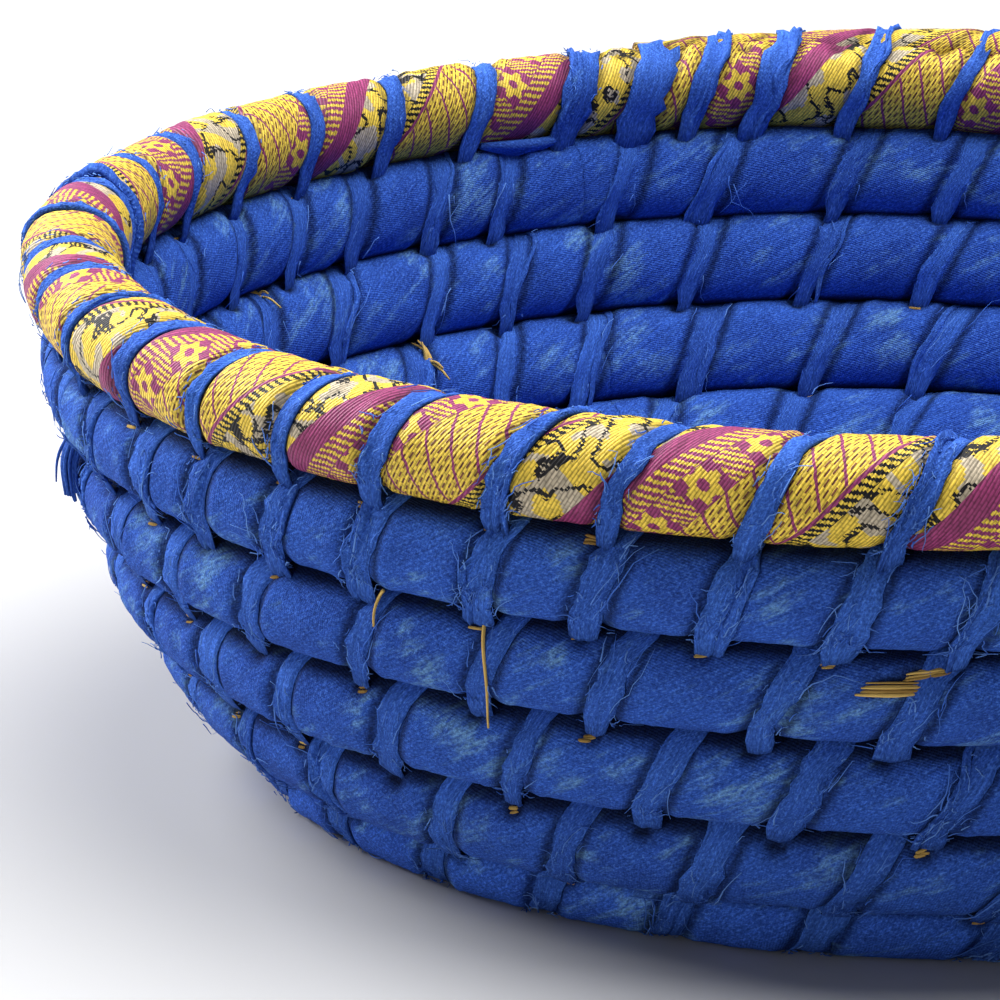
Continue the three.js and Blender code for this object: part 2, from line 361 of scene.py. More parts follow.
def plan_stitches(sizes):
    """All the stitches of the basket, from the middle of the base to the tip of the tail."""
    rng = np.random.default_rng(PLAN_SEED)
    rim_zero = RIM_ROW - LOOP_START  # turns where the rim passes +X
    low, high = rim_zero + np.array(sizes.tail_binding_span) / 360
    planned = [s for s in even_stitches(rng, sizes) if not low < s.turns < high]
    gap = 1 / sizes.stitches_per_round[-1]
    for angle, width in zip(sizes.tail_binding_angles, sizes.tail_binding_widths):
        planned.append(SewnStrip(rim_zero + angle / 360, gap, width, "rim_stitches"))
    planned.sort(key=lambda s: s.turns)
    spaced = planned[:1]
    for s in planned[1:]:
        crowded = s.turns - spaced[-1].turns < STITCH_CROWDED * s.gap
        if not crowded or s.turns > RIM_ROW - 0.1:  # the rim's own strips may crowd, as they do at the tail
            spaced.append(s)
    for s in list(spaced):
        if rng.random() < sizes.twin_share:
            aside = rng.choice([-1, 1]) * rng.uniform(*TWIN_OFFSETS)
            width = s.width * rng.uniform(*TWIN_WIDTHS)
            spaced.append(SewnStrip(s.turns + aside * turns_per_metre(s.turns), s.gap, width, s.piece, True))
    return spaced


def groove_lines(stitches):
    """Turns, gap and half width of every line that a stitch presses into the coil, the tail's included."""
    main = [s for s in stitches if not s.twin]
    lines = [(s.turns, s.gap, s.width / 2) for s in main]
    lines += [(s.turns + 1, s.gap, s.width / 2) for s in main if RIM_FROM < s.turns < LAST_TURN - 1]
    lines.sort()
    return np.array(lines).T


def nearest(places, value):
    """Index of the place that is nearest to each value, where the places are in order."""
    after = np.clip(np.searchsorted(places, value), 1, len(places) - 1)
    return after - (np.abs(value - places[after - 1]) < np.abs(value - places[after]))


def nearest_stitch(lines, turns, phi):
    """Distance along the coil from the nearest stitch: in metres, and in half widths of its groove."""
    at, gap, half = lines
    ahead = np.clip(np.searchsorted(at, turns), 0, len(at) - 1)
    wound = turns - gap[ahead] * phi / TURN
    place = nearest(at, wound)
    away = (wound - at[place]) / turns_per_metre(turns)
    return away, np.abs(away) / (half[place] + GROOVE_MARGIN)


def stitch_end(inside):
    """Angle round its own coil at which a stitch reaches the round below."""
    return math.pi - STITCH_LOW if inside else STITCH_LOW


def hole_dents(lines, turns, phi):
    """1 in the middle of each hole where a stitch goes into the round below, falling to 0 around it."""
    at, gap, _ = lines
    dents = 0
    for inside in (False, True):
        holes = np.sort(at - 1 + gap * stitch_end(inside) / TURN)
        run = (turns - holes[nearest(holes, turns)]) / turns_per_metre(turns)
        rise = (phi - (math.pi - HOLE_PHI if inside else HOLE_PHI)) * HALF_RIM
        dents = dents + np.exp(-((run / HOLE_RUN) ** 2) - (rise / HOLE_RISE) ** 2)
    return dents


def torn_away(sizes, turns, phi):
    """1 where the cloth is torn away from the stalks on a slant, else 0."""
    run = (turns - sizes.tear_turns) / turns_per_metre(turns)
    rise = (phi - TEAR_PHI) * HALF_RIM
    tear_run = run * math.cos(TEAR_SLANT) + rise * math.sin(TEAR_SLANT)
    tear_rise = rise * math.cos(TEAR_SLANT) - run * math.sin(TEAR_SLANT)
    return np.exp(-((tear_run / TEAR_RUN) ** 4) - (tear_rise / TEAR_RISE) ** 4)


# Surface of the cloth


def cloth_lumps(run, share, length, count, seed):
    """Lumps of a length along the cloth, so many of them round the coil."""
    return lumps(run / length, share * count, seed, count)


def ridge(place, over, rise):
    """A ridge that rises fast from place 0 and falls slowly towards 1, where it repeats."""
    place = np.mod(place, 1.0)
    return np.exp(-place / over) * smooth_step(place / rise)


def wound_lumps(run, share, advance):
    """Heights, in millimetres, of lumps, edges of the wound strip and slanted folds."""
    soft = BROAD_LUMP * cloth_lumps(run, share, 10 * MM, 4, 1)
    soft = soft + SMALL_LUMP * cloth_lumps(run, share, 4.2 * MM, 9, 2)
    wander = 0.12 * lumps(run / (30 * MM), share * 0, 3)
    lap = STRIP_EDGE * ridge(run / advance - share + wander, 0.10, 0.025)
    bent = 0.5 * cloth_lumps(run, share, 12 * MM, 3, 8)
    fold = SLANTED_FOLD * ridge(FOLDS_PER_TURN * run / advance - share + bent, 0.13, 0.05)
    return soft + lap + fold * (0.5 + cloth_lumps(run, share, 17 * MM, 2, 9))


def cloth_relief(sizes, lines, turns, phi, advance):
    """Height of the cloth over the plain coil: lumps, edges of the wound strip, and stitch grooves."""
    run = run_at(turns)
    share = (phi - SEAM) / TURN
    row, girth = coil_state(turns)
    covered = np.where(np.sin(phi) < 0, 1.0, 1 - rim_share(row))
    open_side = 1 - covered * (1 - np.abs(np.cos(phi)))
    away, reach = nearest_stitch(lines, turns, phi)
    groove = sizes.groove_depth / MM * np.exp(-(reach**4)) * (0.3 + 0.7 * open_side)
    groove = groove + STITCH_HOLLOW * np.exp(-((reach / 2.6) ** 2)) * open_side
    pucker = PUCKER * np.exp(-(((reach - 1.75) / 0.45) ** 2))
    waves = np.cos(away / (0.33 * MM) + 3 * cloth_lumps(run, share, 6 * MM, 5, 4))
    folds = STITCH_FOLD * np.exp(-reach / 2.2) * waves
    height = wound_lumps(run, share, advance) * (0.25 + 0.75 * open_side) - groove
    height = height + (pucker + folds + FULLNESS) * open_side
    height = height - HOLE_DEPTH * hole_dents(lines, turns, phi) - TEAR_DEPTH * torn_away(sizes, turns, phi)
    height = np.maximum(height, PRESSED_LEAST - 3 * open_side)
    return height * MM * girth


def cloth_creases(sizes, lines, turns, phi):
    """Painted shading: 1 where painted shade darkens the cloth between rounds, beside stitches and in holes
    and the tear, 0 in the open, and below 0 on the foot, which has painted light.
    """
    row, _ = coil_state(turns)
    inner = phi > math.pi / 2
    degrees = np.degrees(np.where(inner, math.pi - phi, phi))
    lean = np.interp(row, ROWS, SECTION_LEANS)
    # Painted shade: the top of each round is darkened under the round above, and its bottom over the round
    # below.
    above_from = np.where(inner, INNER_TOP, OUTER_TOP + OUTER_TOP_LEAN * lean)
    above_over = np.where(inner, INNER_TOP_OVER, OUTER_TOP_OVER - OUTER_OVER_LEAN * lean)
    above = smooth_step((degrees - above_from) / above_over) * (1 - rim_share(row))
    turned = np.maximum(np.interp(row, ROWS, STEP_LEANS) - lean - FOOT_SPARE, 0)
    below_from = np.where(inner, INNER_LOW + turned, OUTER_LOW - turned)  # the foot meets the base lower
    below = smooth_step((below_from - degrees) / LOW_OVER)
    # Painted shade along each side of a stitch.
    _, reach = nearest_stitch(lines, turns, phi)
    beside = STITCH_SIDE_SHADE * np.exp(-(((reach - 1.0) / 0.3) ** 2))
    # Painted shade in the holes of the stitches and in the tear.
    dents = np.minimum(1.5 * hole_dents(lines, turns, phi) + torn_away(sizes, turns, phi), 1)
    dark = np.maximum(np.maximum(above, below), np.maximum(beside, dents))
    # Painted light: the foot is made paler in place of light from the floor.
    foot_light = FOOT_PAINTED_LIGHT * np.exp(-(((row - FOOT_ROW) / 0.5) ** 2))
    return dark - (1 - dark) * foot_light


def on_cloth(sizes, lines, turns, phi, height):
    """Points a height above the cloth."""
    middle, away = coil_ray(turns, phi)
    radius = coil_radius(turns, phi) + cloth_relief(sizes, lines, turns, phi, WRAP_ADVANCE) + height
    return middle + away * radius[..., None]


# Meshes


def deselect():
    if bpy.context.object and bpy.context.object.mode != "OBJECT":
        bpy.ops.object.mode_set(mode="OBJECT")
    bpy.ops.object.select_all(action="DESELECT")


def pick(*pieces):
    deselect()
    for piece in pieces:
        piece.select_set(True)
    bpy.context.view_layer.objects.active = pieces[0]


def edit_all(piece, operator, **settings):
    """Runs a mesh operator on all of a piece in edit mode."""
    pick(piece)
    bpy.ops.object.mode_set(mode="EDIT")
    bpy.ops.mesh.select_all(action="SELECT")
    operator(**settings)
    bpy.ops.object.mode_set(mode="OBJECT")


def finish_piece(piece, material, slot, *nodes):
    """Gives a finished piece its material, its smooth shading and its place on the frame."""
    piece.data.materials.clear()
    piece.data.materials.append(material)
    pick(piece)
    bpy.ops.object.shade_smooth()
    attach(piece, "root")
    if nodes:
        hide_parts(*nodes)


def note_points(mesh, name, values):
    """Keeps a value for each point of a mesh, such as how much painted shade it has."""
    attribute = mesh.attributes.new(name, "FLOAT", "POINT")
    attribute.data.foreach_set("value", values.astype(np.float32).ravel())


FIRST_END, LAST_END = 1, 2  # marks of the points at a sleeve's two ends


def rolled_grid(name, points, shade_paint, low, high):
    """A grid rolled into a tube through points[round, along], its map running from low to high in metres."""
    rounds, steps = points.shape[0] - 1, points.shape[1] - 1
    deselect()
    bpy.ops.mesh.primitive_grid_add(x_subdivisions=steps, y_subdivisions=rounds, size=1)
    piece = bpy.context.object
    piece.name = piece.data.name = name
    piece.data.vertices.foreach_set("co", points.astype(np.float32).ravel())
    # Keeps each point's painted shade for the materials.
    note_points(piece.data, "painted_shading", shade_paint)
    ends = np.zeros(points.shape[:2])
    ends[:, 0], ends[:, -1] = FIRST_END, LAST_END
    note_points(piece.data, "end", ends)
    layer = piece.data.uv_layers[0]
    layer.name = CLOTH_MAP
    flat = np.zeros(2 * len(piece.data.loops), np.float32)
    layer.uv.foreach_get("vector", flat)
    flat = np.array(low) + flat.reshape(-1, 2) * (np.array(high) - np.array(low))
    layer.uv.foreach_set("vector", flat.astype(np.float32).ravel())
    piece.data.update()
    edit_all(piece, bpy.ops.mesh.remove_doubles, threshold=1e-6)
    return piece


def bridge_end(piece, end):
    """Joins the outer and inner edges of a sleeve at one of its marked ends."""
    mesh = piece.data
    marks = np.zeros(len(mesh.vertices), np.float32)
    mesh.attributes["end"].data.foreach_get("value", marks)
    uses = np.zeros(len(mesh.edges), int)
    sides = np.zeros(len(mesh.loops), np.int32)
    mesh.loops.foreach_get("edge_index", sides)
    np.add.at(uses, sides, 1)
    for part in (mesh.vertices, mesh.edges, mesh.polygons):
        part.foreach_set("select", np.zeros(len(part), bool))
    for index in np.flatnonzero(uses == 1):
        edge = mesh.edges[index]
        edge.select = all(marks[v] == end for v in edge.vertices)
    pick(piece)
    bpy.ops.object.mode_set(mode="EDIT")
    bpy.ops.mesh.select_mode(type="EDGE")
    bpy.ops.mesh.bridge_edge_loops()
    bpy.ops.object.mode_set(mode="OBJECT")


def wound_sleeve(sizes, lines, name, first, last, advance):
    """Cloth wound on the coil from one number of turns to another: fine outside, plainer inside."""
    length = float(run_at(last) - run_at(first))

    def surface(step, sides, inside):
        turns = np.linspace(first, last, max(2, round(length / step)) + 1)
        phi = SEAM + TURN * np.linspace(0, 1, sides + 1)
        turns, phi = np.meshgrid(turns, phi[::-1] if inside else phi)
        middle, away = coil_ray(turns, phi)
        radius = coil_radius(turns, phi)
        # The inside of the sleeve is painted fully shaded.
        shade_paint = np.ones_like(radius)
        if inside:
            radius = radius * BORE_SHARE
        else:
            radius = radius + cloth_relief(sizes, lines, turns, phi, advance)
            shade_paint = cloth_creases(sizes, lines, turns, phi)
        points = on_floor(middle + away * radius[..., None])
        points[-1] = points[0]
        return points, shade_paint

    low, high = (float(run_at(first)), 0.0), (float(run_at(last)), ROUND_IT)
    outer = rolled_grid(name, *surface(sizes.cloth_step, sizes.cloth_sides, False), low, high)
    bore = surface(BORE_COARSER * sizes.cloth_step, BORE_SIDES, True)
    inner = rolled_grid(name + "_inside", *bore, low, high)
    pick(outer, inner)
    bpy.ops.object.join()
    for end in (FIRST_END, LAST_END):
        bridge_end(outer, end)
    outer.data.attributes.remove(outer.data.attributes["end"])
    edit_all(outer, bpy.ops.mesh.normals_make_consistent, inside=False)
    return outer


def strip_model(steps=26, across=4):
    """One flat strip of cloth: points along 0 to 1, across -1 to 1 and up 0 to 1, and faces."""
    deselect()
    bpy.ops.mesh.primitive_grid_add(x_subdivisions=steps, y_subdivisions=across, size=1)
    strip = bpy.context.object
    bpy.ops.object.modifier_add(type="SOLIDIFY")
    solid = strip.modifiers[0]
    solid.thickness = 1
    solid.offset = 1
    bpy.ops.object.modifier_apply(modifier=solid.name)
    points = np.array([v.co for v in strip.data.vertices])
    faces = np.array([p.vertices for p in strip.data.polygons])
    bpy.data.objects.remove(strip)
    outward = faces[:, ::-1]  # laid on the coil, a strip is mirrored
    return points[:, 0] + 0.5, 2 * points[:, 1], points[:, 2], outward


def copies_mesh(name, faces, points, maps, tints):
    """One mesh of many copies: points and maps are [copy, point], and each copy has a tint of its own."""
    copies, size = points.shape[:2]
    mesh = bpy.data.meshes.new(name)
    shifted = [[corner + copy * size for corner in face] for copy in range(copies) for face in faces]
    mesh.from_pydata(points.reshape(-1, 3), [], shifted)
    layer = mesh.uv_layers.new(name=CLOTH_MAP)
    corners = np.zeros(len(mesh.loops), np.int32)
    mesh.loops.foreach_get("vertex_index", corners)
    layer.uv.foreach_set("vector", maps.reshape(-1, 2)[corners].astype(np.float32).ravel())
    note_points(mesh, "tint", np.repeat(tints, size))
    piece = bpy.data.objects.new(name, mesh)
    bpy.context.scene.collection.objects.link(piece)
    return piece


def tube_copies(name, paths, radii, tints, sides=3):
    """Closed tubes along paths[copy, step], with radii[copy, step]."""
    copies, steps = radii.shape
    ahead = unit(np.gradient(paths, axis=1) + 1e-12)
    mean = np.abs(ahead.mean(1, keepdims=True))
    reference = np.eye(3)[mean.argmin(-1)]
    side = unit(np.cross(ahead, reference))
    other = np.cross(ahead, side)
    angle = TURN * np.arange(sides) / sides
    ring = side[:, :, None] * np.cos(angle)[:, None] + other[:, :, None] * np.sin(angle)[:, None]
    points = paths[:, :, None] + ring * radii[:, :, None, None]
    faces = []
    for step in range(steps - 1):
        for i in range(sides):
            a, b = step * sides + i, step * sides + (i + 1) % sides
            faces.append([a, b, b + sides, a + sides])
    faces.append(list(range(sides))[::-1])
    faces.append(list(range((steps - 1) * sides, steps * sides)))
    run = np.linalg.norm(np.diff(paths, axis=1), axis=2).cumsum(1)
    run = np.concatenate([np.zeros((copies, 1)), run], 1)
    maps = np.stack(np.broadcast_arrays(run[:, :, None], (angle / TURN * 5 * MM)[None, None]), -1)
    return copies_mesh(name, faces, points.reshape(copies, -1, 3), maps.reshape(copies, -1, 2), tints)


# Sewn strips

STRIP_SEAT = -0.03 * MM  # how far a strip sinks into the cloth
STRIP_MAP = 40 * MM  # length of a strip's map
STRIP_ENDS = 0.09  # radians by which the ends of strips vary
STRIP_SWAY = 0.45 * MM  # to each side
TWIN_SWAY = 2.4  # times as far for a loose second strand
TWIN_LIFT = 0.45  # of it over its stitch, in thicknesses
# By what share a strip is wider or narrower, or thinner
UNEVEN_WIDTH = 0.2
RAGGED_WIDTH = 0.2
TUCKED_NARROWER = 0.35
INNER_NARROWER = 0.2
INNER_THINNER = 0.55
PRESSED_THICKNESS = 0.3  # between rounds, as a share of that in the open
EDGE_THICKNESS = 0.22  # at the strip's edges, as a share of its full thickness
RIM_EDGE_THICKNESS = 0.16  # more than that on the rim


def below_round(phi):
    """How far past its own round a stitch has gone, from 0, towards the round below, to about 1."""
    outside = -STITCH_LEAVES - phi
    inside = phi - (math.pi + STITCH_LEAVES)
    return np.maximum(np.maximum(outside, inside), 0) / (-STITCH_LEAVES - STITCH_LOW)


def strip_radius(turns, phi):
    """Radius of a stitch's seat: on its round, and over the tail where that lies on it."""
    _, _, up, out = coil_frame(turns)
    tail = (turns > RIM_FROM) & (turns < LAST_TURN - 1)
    upper = np.where(tail, turns + 1, turns)
    offset = coil_middle(upper) - coil_middle(turns)
    sideways, upward = dot(offset, out)[..., 0], dot(offset, up)[..., 0]
    tail_radius = coil_state(upper)[1] * HALF_RIM
    reach = sideways * np.cos(phi) + upward * np.sin(phi)
    inside = reach**2 - sideways**2 - upward**2 + tail_radius**2
    over_tail = np.where(tail & (inside > 0), reach + np.sqrt(np.maximum(inside, 0)), 0)
    return np.maximum(coil_radius(turns, phi), over_tail)


def taut(radius, step):
    """Pulls strips straight over dips, where their radii are a step of angle apart along the second axis."""
    for _ in range(30):
        before, after = radius[:, :-2], radius[:, 2:]
        straight = 2 * before * after / (before + after) * math.cos(step)
        radius[:, 1:-1] = np.maximum(radius[:, 1:-1], straight)
    return radius


def lay_strips(sizes, lines, name, stitches, rng):
    """Copies of the strip, each wound up the outside of its round, over it and down its inside."""
    share, across, level, faces = strip_model()
    steps = np.unique(np.round(share, 6))
    index = np.searchsorted(steps, np.round(share, 6) - TINY)
    at = np.array([s.turns for s in stitches])[:, None]
    gap = np.array([s.gap for s in stitches])[:, None]
    width = np.array([s.width for s in stitches])[:, None]
    twin = np.array([s.twin for s in stitches])[:, None]
    number = np.arange(len(stitches))[:, None]
    ends = rng.uniform(-STRIP_ENDS, STRIP_ENDS, (len(stitches), 2))
    low, high = STITCH_LOW + ends[:, :1], STITCH_HIGH + ends[:, 1:]
    phi_line = low + (high - low) * steps
    turns_line = at + gap * phi_line / TURN
    seat = taut(strip_radius(turns_line, phi_line), (STITCH_HIGH - STITCH_LOW) / (len(steps) - 1))
    phi = phi_line[:, index]
    turns_middle = turns_line[:, index]
    past = below_round(phi)
    sway = lumps(number * 7.3, phi * 1.7, 5)
    ragged = lumps(number * 3.7 + np.sign(across) * 0.5, phi * 6.5, 6) * np.abs(across)
    middle, away = coil_ray(turns_middle, phi)
    along = coil_frame(turns_middle)[1]
    on_rim = rim_share(coil_state(turns_middle)[0])
    open_side = np.maximum(np.abs(np.cos(phi)), on_rim)
    inner_side = smooth_step(-np.cos(phi) * 2) * (1 - on_rim)
    narrow = 1 + UNEVEN_WIDTH * sway + RAGGED_WIDTH * ragged
    narrow = narrow - TUCKED_NARROWER * smooth_step(past) - INNER_NARROWER * inner_side
    shift = across * narrow * width / 2 + STRIP_SWAY * sway * np.where(twin, TWIN_SWAY, 1)
    turns = turns_middle + shift * turns_per_metre(turns_middle)
    thickness = sizes.stitch_thickness * (PRESSED_THICKNESS + (1 - PRESSED_THICKNESS) * open_side)
    thickness = thickness * (sizes.wall_stitch_share + (1 - sizes.wall_stitch_share) * on_rim)
    thickness = thickness * (1 - INNER_THINNER * inner_side)
    fold = 0.7 + 0.3 * np.cos(across * math.pi * 1.4 + 3.5 * sway + number)
    edge = EDGE_THICKNESS + RIM_EDGE_THICKNESS * on_rim
    crown = np.where(np.abs(across) > 0.9, edge, fold) + TWIN_LIFT * twin
    relief = cloth_relief(sizes, lines, turns, phi, WRAP_ADVANCE) * (1 - smooth_step(past * 2))
    drop = sizes.stitch_reach * past**1.3
    radius = seat[:, index] + relief + STRIP_SEAT + drop + level * crown * thickness
    points = on_floor(middle + along * shift[..., None] + away * radius[..., None])
    maps = np.stack([share * STRIP_MAP + at, across * (width / 2 + (1 - level) * MM)], -1)
    piece = copies_mesh(name, faces, points, maps, rng.uniform(0, 1, len(stitches)))
    # Painted shade on the strip's underside and edges, and where it goes into the round below.
    note_points(piece.data, "painted_shading", np.maximum(0.9 * (1 - level), 0.5 * smooth_step(past * 1.2)))
    return piece


# Frayed threads

THREAD_LONGEST = 2.6  # times the mean length
THREAD_BEND = 0.8  # radians, at a thread's end
THREAD_WAVER = 0.25  # radians, at each step
THREAD_SEAT = 0.2 * MM  # over the cloth
THREAD_GIRTHS = (0.55, 1.3)  # range, as shares of the usual thickness


def fray(sizes, lines, name, stitches, rng, per_stitch, span, mean_length, steps=8):
    """Fine threads that stray from the edges of the strips, most of them low in a span of angles."""
    along = np.linspace(0, 1, steps)
    owner = np.repeat(np.arange(len(stitches)), per_stitch)
    count = len(owner)
    at = np.array([s.turns for s in stitches])[owner, None]
    gap = np.array([s.gap for s in stitches])[owner, None]
    half = np.array([s.width for s in stitches])[owner, None] / 2
    low, high = np.radians(span)
    start = low + (high - low) * rng.random((count, 1)) ** 1.6
    side = rng.choice([-1.0, 1.0], (count, 1))
    length = np.minimum(rng.gamma(2.0, mean_length / 2, (count, 1)), THREAD_LONGEST * mean_length)
    heading = rng.normal(0, 0.32, (count, 1)) + np.where(rng.random((count, 1)) < 0.5, 0, math.pi)
    heading = heading + rng.normal(0, THREAD_BEND, (count, 1)) * along**2
    heading = heading + rng.normal(0, THREAD_WAVER, (count, steps))
    step = length / (steps - 1)
    round_it = np.cumsum(np.cos(heading) * step, 1)
    sideways = np.cumsum(np.abs(np.sin(heading)) * step * side, 1)
    phi = np.clip(start + round_it / HALF_RIM, min(low, high) - 0.05, max(low, high) + 0.05)
    edge = side * half * rng.uniform(0.0, 1.05, (count, 1))
    turns = np.clip(at + gap * phi / TURN + (edge + sideways) * turns_per_metre(at), 0, LAST_TURN)
    lift = np.minimum(rng.exponential(0.08, (count, 1)), 0.3) * along**1.5 * length
    height = THREAD_SEAT + sizes.stitch_thickness * np.exp(-np.abs(sideways) / MM) + lift
    paths = on_cloth(sizes, lines, turns, phi, height)
    thick = sizes.thread_thickness / 2 * rng.uniform(*THREAD_GIRTHS, (count, 1)) * (1 - 0.5 * along)
    return tube_copies(name, on_floor(paths), thick, rng.uniform(0, 1, count))


# Loose bits, whose marks are turns of the coil, angle round it in degrees and height in millimetres

MARK_STEPS = 12  # points along a loose bit
SHORT_STALK = [(10.319, -52, 0.4), (9.3175, 60, 1.6), (9.3168, 44, 1.3), (9.3166, 28, 0.4)]
LONG_STALK = [(9.3381, 66, 0.3), (9.3388, 40, 0.9), (9.3393, 14, 1.0), (9.3390, -20, 1.0)]
LONG_STALK_END = [(8.3362, 60, 1.4), (8.3366, 46, 0.6)]  # on the round below
TUFT_STALKS = 6
LOOSE_STRANDS = 30
TUCKED_STRANDS = 5
TUCKED_TURNS = 11.001
# Bunches of stalks in the tear: number, ends in millimetres, lowest and highest angle, and climb in degrees
TEAR_BUNCHES = ((6, -5.8, 1.4, 22, 35, 3.0), (4, -0.6, 5.4, 39, 49, 13.0))


def along_cloth(sizes, lines, marks):
    """A smooth path through marks."""
    turns, degrees, heights = np.array(marks, float).T
    points = on_cloth(sizes, lines, turns, np.radians(degrees), heights * MM)
    at = np.linspace(0, 1, len(points))
    fine = np.linspace(0, 1, 4 * MARK_STEPS)
    path = np.stack([np.interp(fine, at, points[:, i]) for i in range(3)], -1)
    for _ in range(3 * MARK_STEPS):
        path[1:-1] = (path[:-2] + path[2:]) / 2
    return path[np.linspace(0, len(path) - 1, MARK_STEPS).round().astype(int)]


def torn_patch(sizes, lines, rng):
    """Stalks that show through a tear: a low bunch, and a thinner one that goes up under the next round."""
    share = np.linspace(0, 1, 9)
    turns, phis, heights, radii = [], [], [], []
    scale = float(turns_per_metre(np.array(sizes.tear_turns)))
    for count, left, right, low, high, climb in TEAR_BUNCHES:
        for i in range(count):
            lane = i / (count - 1)
            start = left + 0.5 * lane + rng.uniform(-0.5, 0.5)
            end = right + 1.4 * lane + rng.uniform(-0.4, 0.4)
            turns.append(sizes.tear_turns + (start + (end - start) * share) * MM * scale)
            phis.append(np.radians(low + (high - low) * lane + climb * share + rng.uniform(-1, 1)))
            heights.append((0.3 - 0.5 * (2 * share - 1) ** 6 + rng.uniform(-0.12, 0.12)) * MM)
            radii.append(rng.uniform(0.14, 0.25) * MM * (1 - 0.4 * (2 * share - 1) ** 2))
    paths = on_cloth(sizes, lines, np.array(turns), np.array(phis), np.array(heights))
    return tube_copies("torn_patch_stalks", paths, np.array(radii), rng.uniform(0.0, 1, len(paths)), sides=6)


def loose_straw(sizes, lines, rng):
    """Single stalks that have worked loose outside, and two tufts inside."""
    paths = [along_cloth(sizes, lines, marks) for marks in (SHORT_STALK, LONG_STALK + LONG_STALK_END)]
    radii = [np.linspace(0.26, 0.14, MARK_STEPS) * MM] * 2
    for turns, phi in sizes.tuft_places[:2], sizes.tuft_places[2:]:
        for _ in range(TUFT_STALKS):
            a, b = rng.normal(0, 0.0006, 2)
            tip = phi + rng.uniform(14, 40) * rng.choice([-1, 1])
            marks = [(turns + a, phi, -0.3), (turns + a + b / 2, (phi + tip) / 2, 0.9)]
            marks.append((turns + a + b, tip, rng.uniform(0.4, 2)))
            paths.append(along_cloth(sizes, lines, marks))
            radii.append(np.linspace(rng.uniform(0.2, 0.45), 0.12, MARK_STEPS) * MM)
    tints = rng.uniform(0.6, 1, len(paths))
    return tube_copies("loose_straw", np.array(paths), np.array(radii), tints, sides=5)


def loose_strip(sizes, lines, rng):
    """The frayed end of a strip that hangs at the left, and one tucked under the rim beside the tail."""
    paths, radii = [], []
    turns = sizes.loose_end_turns
    for _ in range(LOOSE_STRANDS):
        a = rng.uniform(-0.0014, 0.0014)
        out = rng.uniform(0.3, 1.9)
        marks = [(turns + 1 + a, -62, 0.4), (turns + a, 62, 1.2 + out), (turns + 1.5 * a, 40, 0.9 + out)]
        marks.append((turns + 2 * a, rng.uniform(0, 22), 0.6 + out))
        paths.append(along_cloth(sizes, lines, marks))
        radii.append(np.linspace(0.4, rng.uniform(0.1, 0.3), MARK_STEPS) * MM)
    for i in range(TUCKED_STRANDS):
        marks = [(TUCKED_TURNS + 0.0006 * i, -118, 0.2), (TUCKED_TURNS + 0.007, -126 + 4 * i, 1.3)]
        marks += [(TUCKED_TURNS + 0.014, -128 + 3 * i, 1.4), (TUCKED_TURNS + 0.0215, -122, 0.1)]
        paths.append(along_cloth(sizes, lines, marks))
        radii.append((0.55 + 0.35 * np.sin(np.linspace(0, math.pi, MARK_STEPS))) * MM)
    tints = rng.uniform(0, 0.6, len(paths))
    return tube_copies("loose_strips", np.array(paths), np.array(radii), tints, sides=6)


# Dried grass

CORE_RINGS = ((3, 1.35 * MM), (9, 3.3 * MM))  # stalks in each ring of the bundle, and its radius
STALK_RADIUS = 1.05 * MM
STALK_TWIST = 55 * MM  # of coil for each radian of the bundle's twist
STALK_STEPS = 660  # along the whole coil
HOLE_CHANCES = ((False, 0.7), (True, 0.16))  # of straw in a hole outside, and inside
STRAW_LANE = math.radians(2.7)  # between the bits in a hole
STRAW_RADII = (0.2 * MM, 0.3 * MM)


def grass_bundle(rng):
    """Stalks that run side by side along the whole coil, a little twisted, thinning in the tail."""
    turns = np.linspace(FIRST_TURN, LAST_TURN, STALK_STEPS)
    girth = coil_state(turns)[1]
    run = run_at(turns)
    flat = run * 0
    paths, radii = [], []
    for count, ring in CORE_RINGS:
        for _ in range(count):
            stalk = len(paths)
            angle = TURN * stalk / count + run / STALK_TWIST
            angle = angle + 0.3 * lumps(run / (40 * MM), flat, 20 + stalk)
            reach = ring * (1 + 0.06 * lumps(run / (25 * MM), flat, 40 + stalk)) * girth
            middle, away = coil_ray(turns, angle)
            paths.append(middle + away * reach[:, None])
            radii.append(STALK_RADIUS * girth * (1 + 0.08 * lumps(run / (18 * MM), flat, 60 + stalk)))
    tints = rng.uniform(0, 1, len(paths))
    return tube_copies("grass_stalks", on_floor(np.array(paths)), np.array(radii), tints, sides=5)


def straw_ends(sizes, lines, stitches, rng):
    """Bits of stalk that show in the holes of the stitches, in the top of the round below."""
    share = np.linspace(-1, 1, 6)
    turns, phis, heights, radii = [], [], [], []
    for s in stitches:
        if s.turns < FOOT_ROW + 1:
            continue
        scale = turns_per_metre(s.turns)
        for inside, chance in HOLE_CHANCES:
            if rng.random() > chance:
                continue
            spot = s.turns - 1 + s.gap * stitch_end(inside) / TURN + rng.uniform(-0.9, 0.5) * MM * scale
            middle = HOLE_PHI - math.radians(rng.uniform(-1, 5))
            size = rng.uniform(0.8, 1.25)
            for lane in np.linspace(-1, 1, rng.integers(2, 4)):
                length = size * rng.uniform(0.8, 1.15) * MM
                turns.append(spot + (share * length + rng.uniform(-0.3, 0.3) * MM) * scale)
                phi = middle + STRAW_LANE * size * lane + rng.uniform(0.0, 0.05) * share
                phis.append(math.pi - phi if inside else phi)
                heights.append(rng.uniform(-0.1, 0.08) * MM - 0.35 * MM * share**4)
                radii.append(rng.uniform(*STRAW_RADII) * (1 - 0.3 * share**2))
    paths = on_cloth(sizes, lines, np.array(turns), np.array(phis), np.array(heights))
    tints = 0.8 * rng.random(len(paths)) ** 1.8
    return tube_copies("straw_ends", on_floor(paths), np.array(radii), tints, sides=5)


# Wires between the nodes of the materials

NOISE_LOW, NOISE_HIGH = 0.3, 0.7  # limits of most of the noise


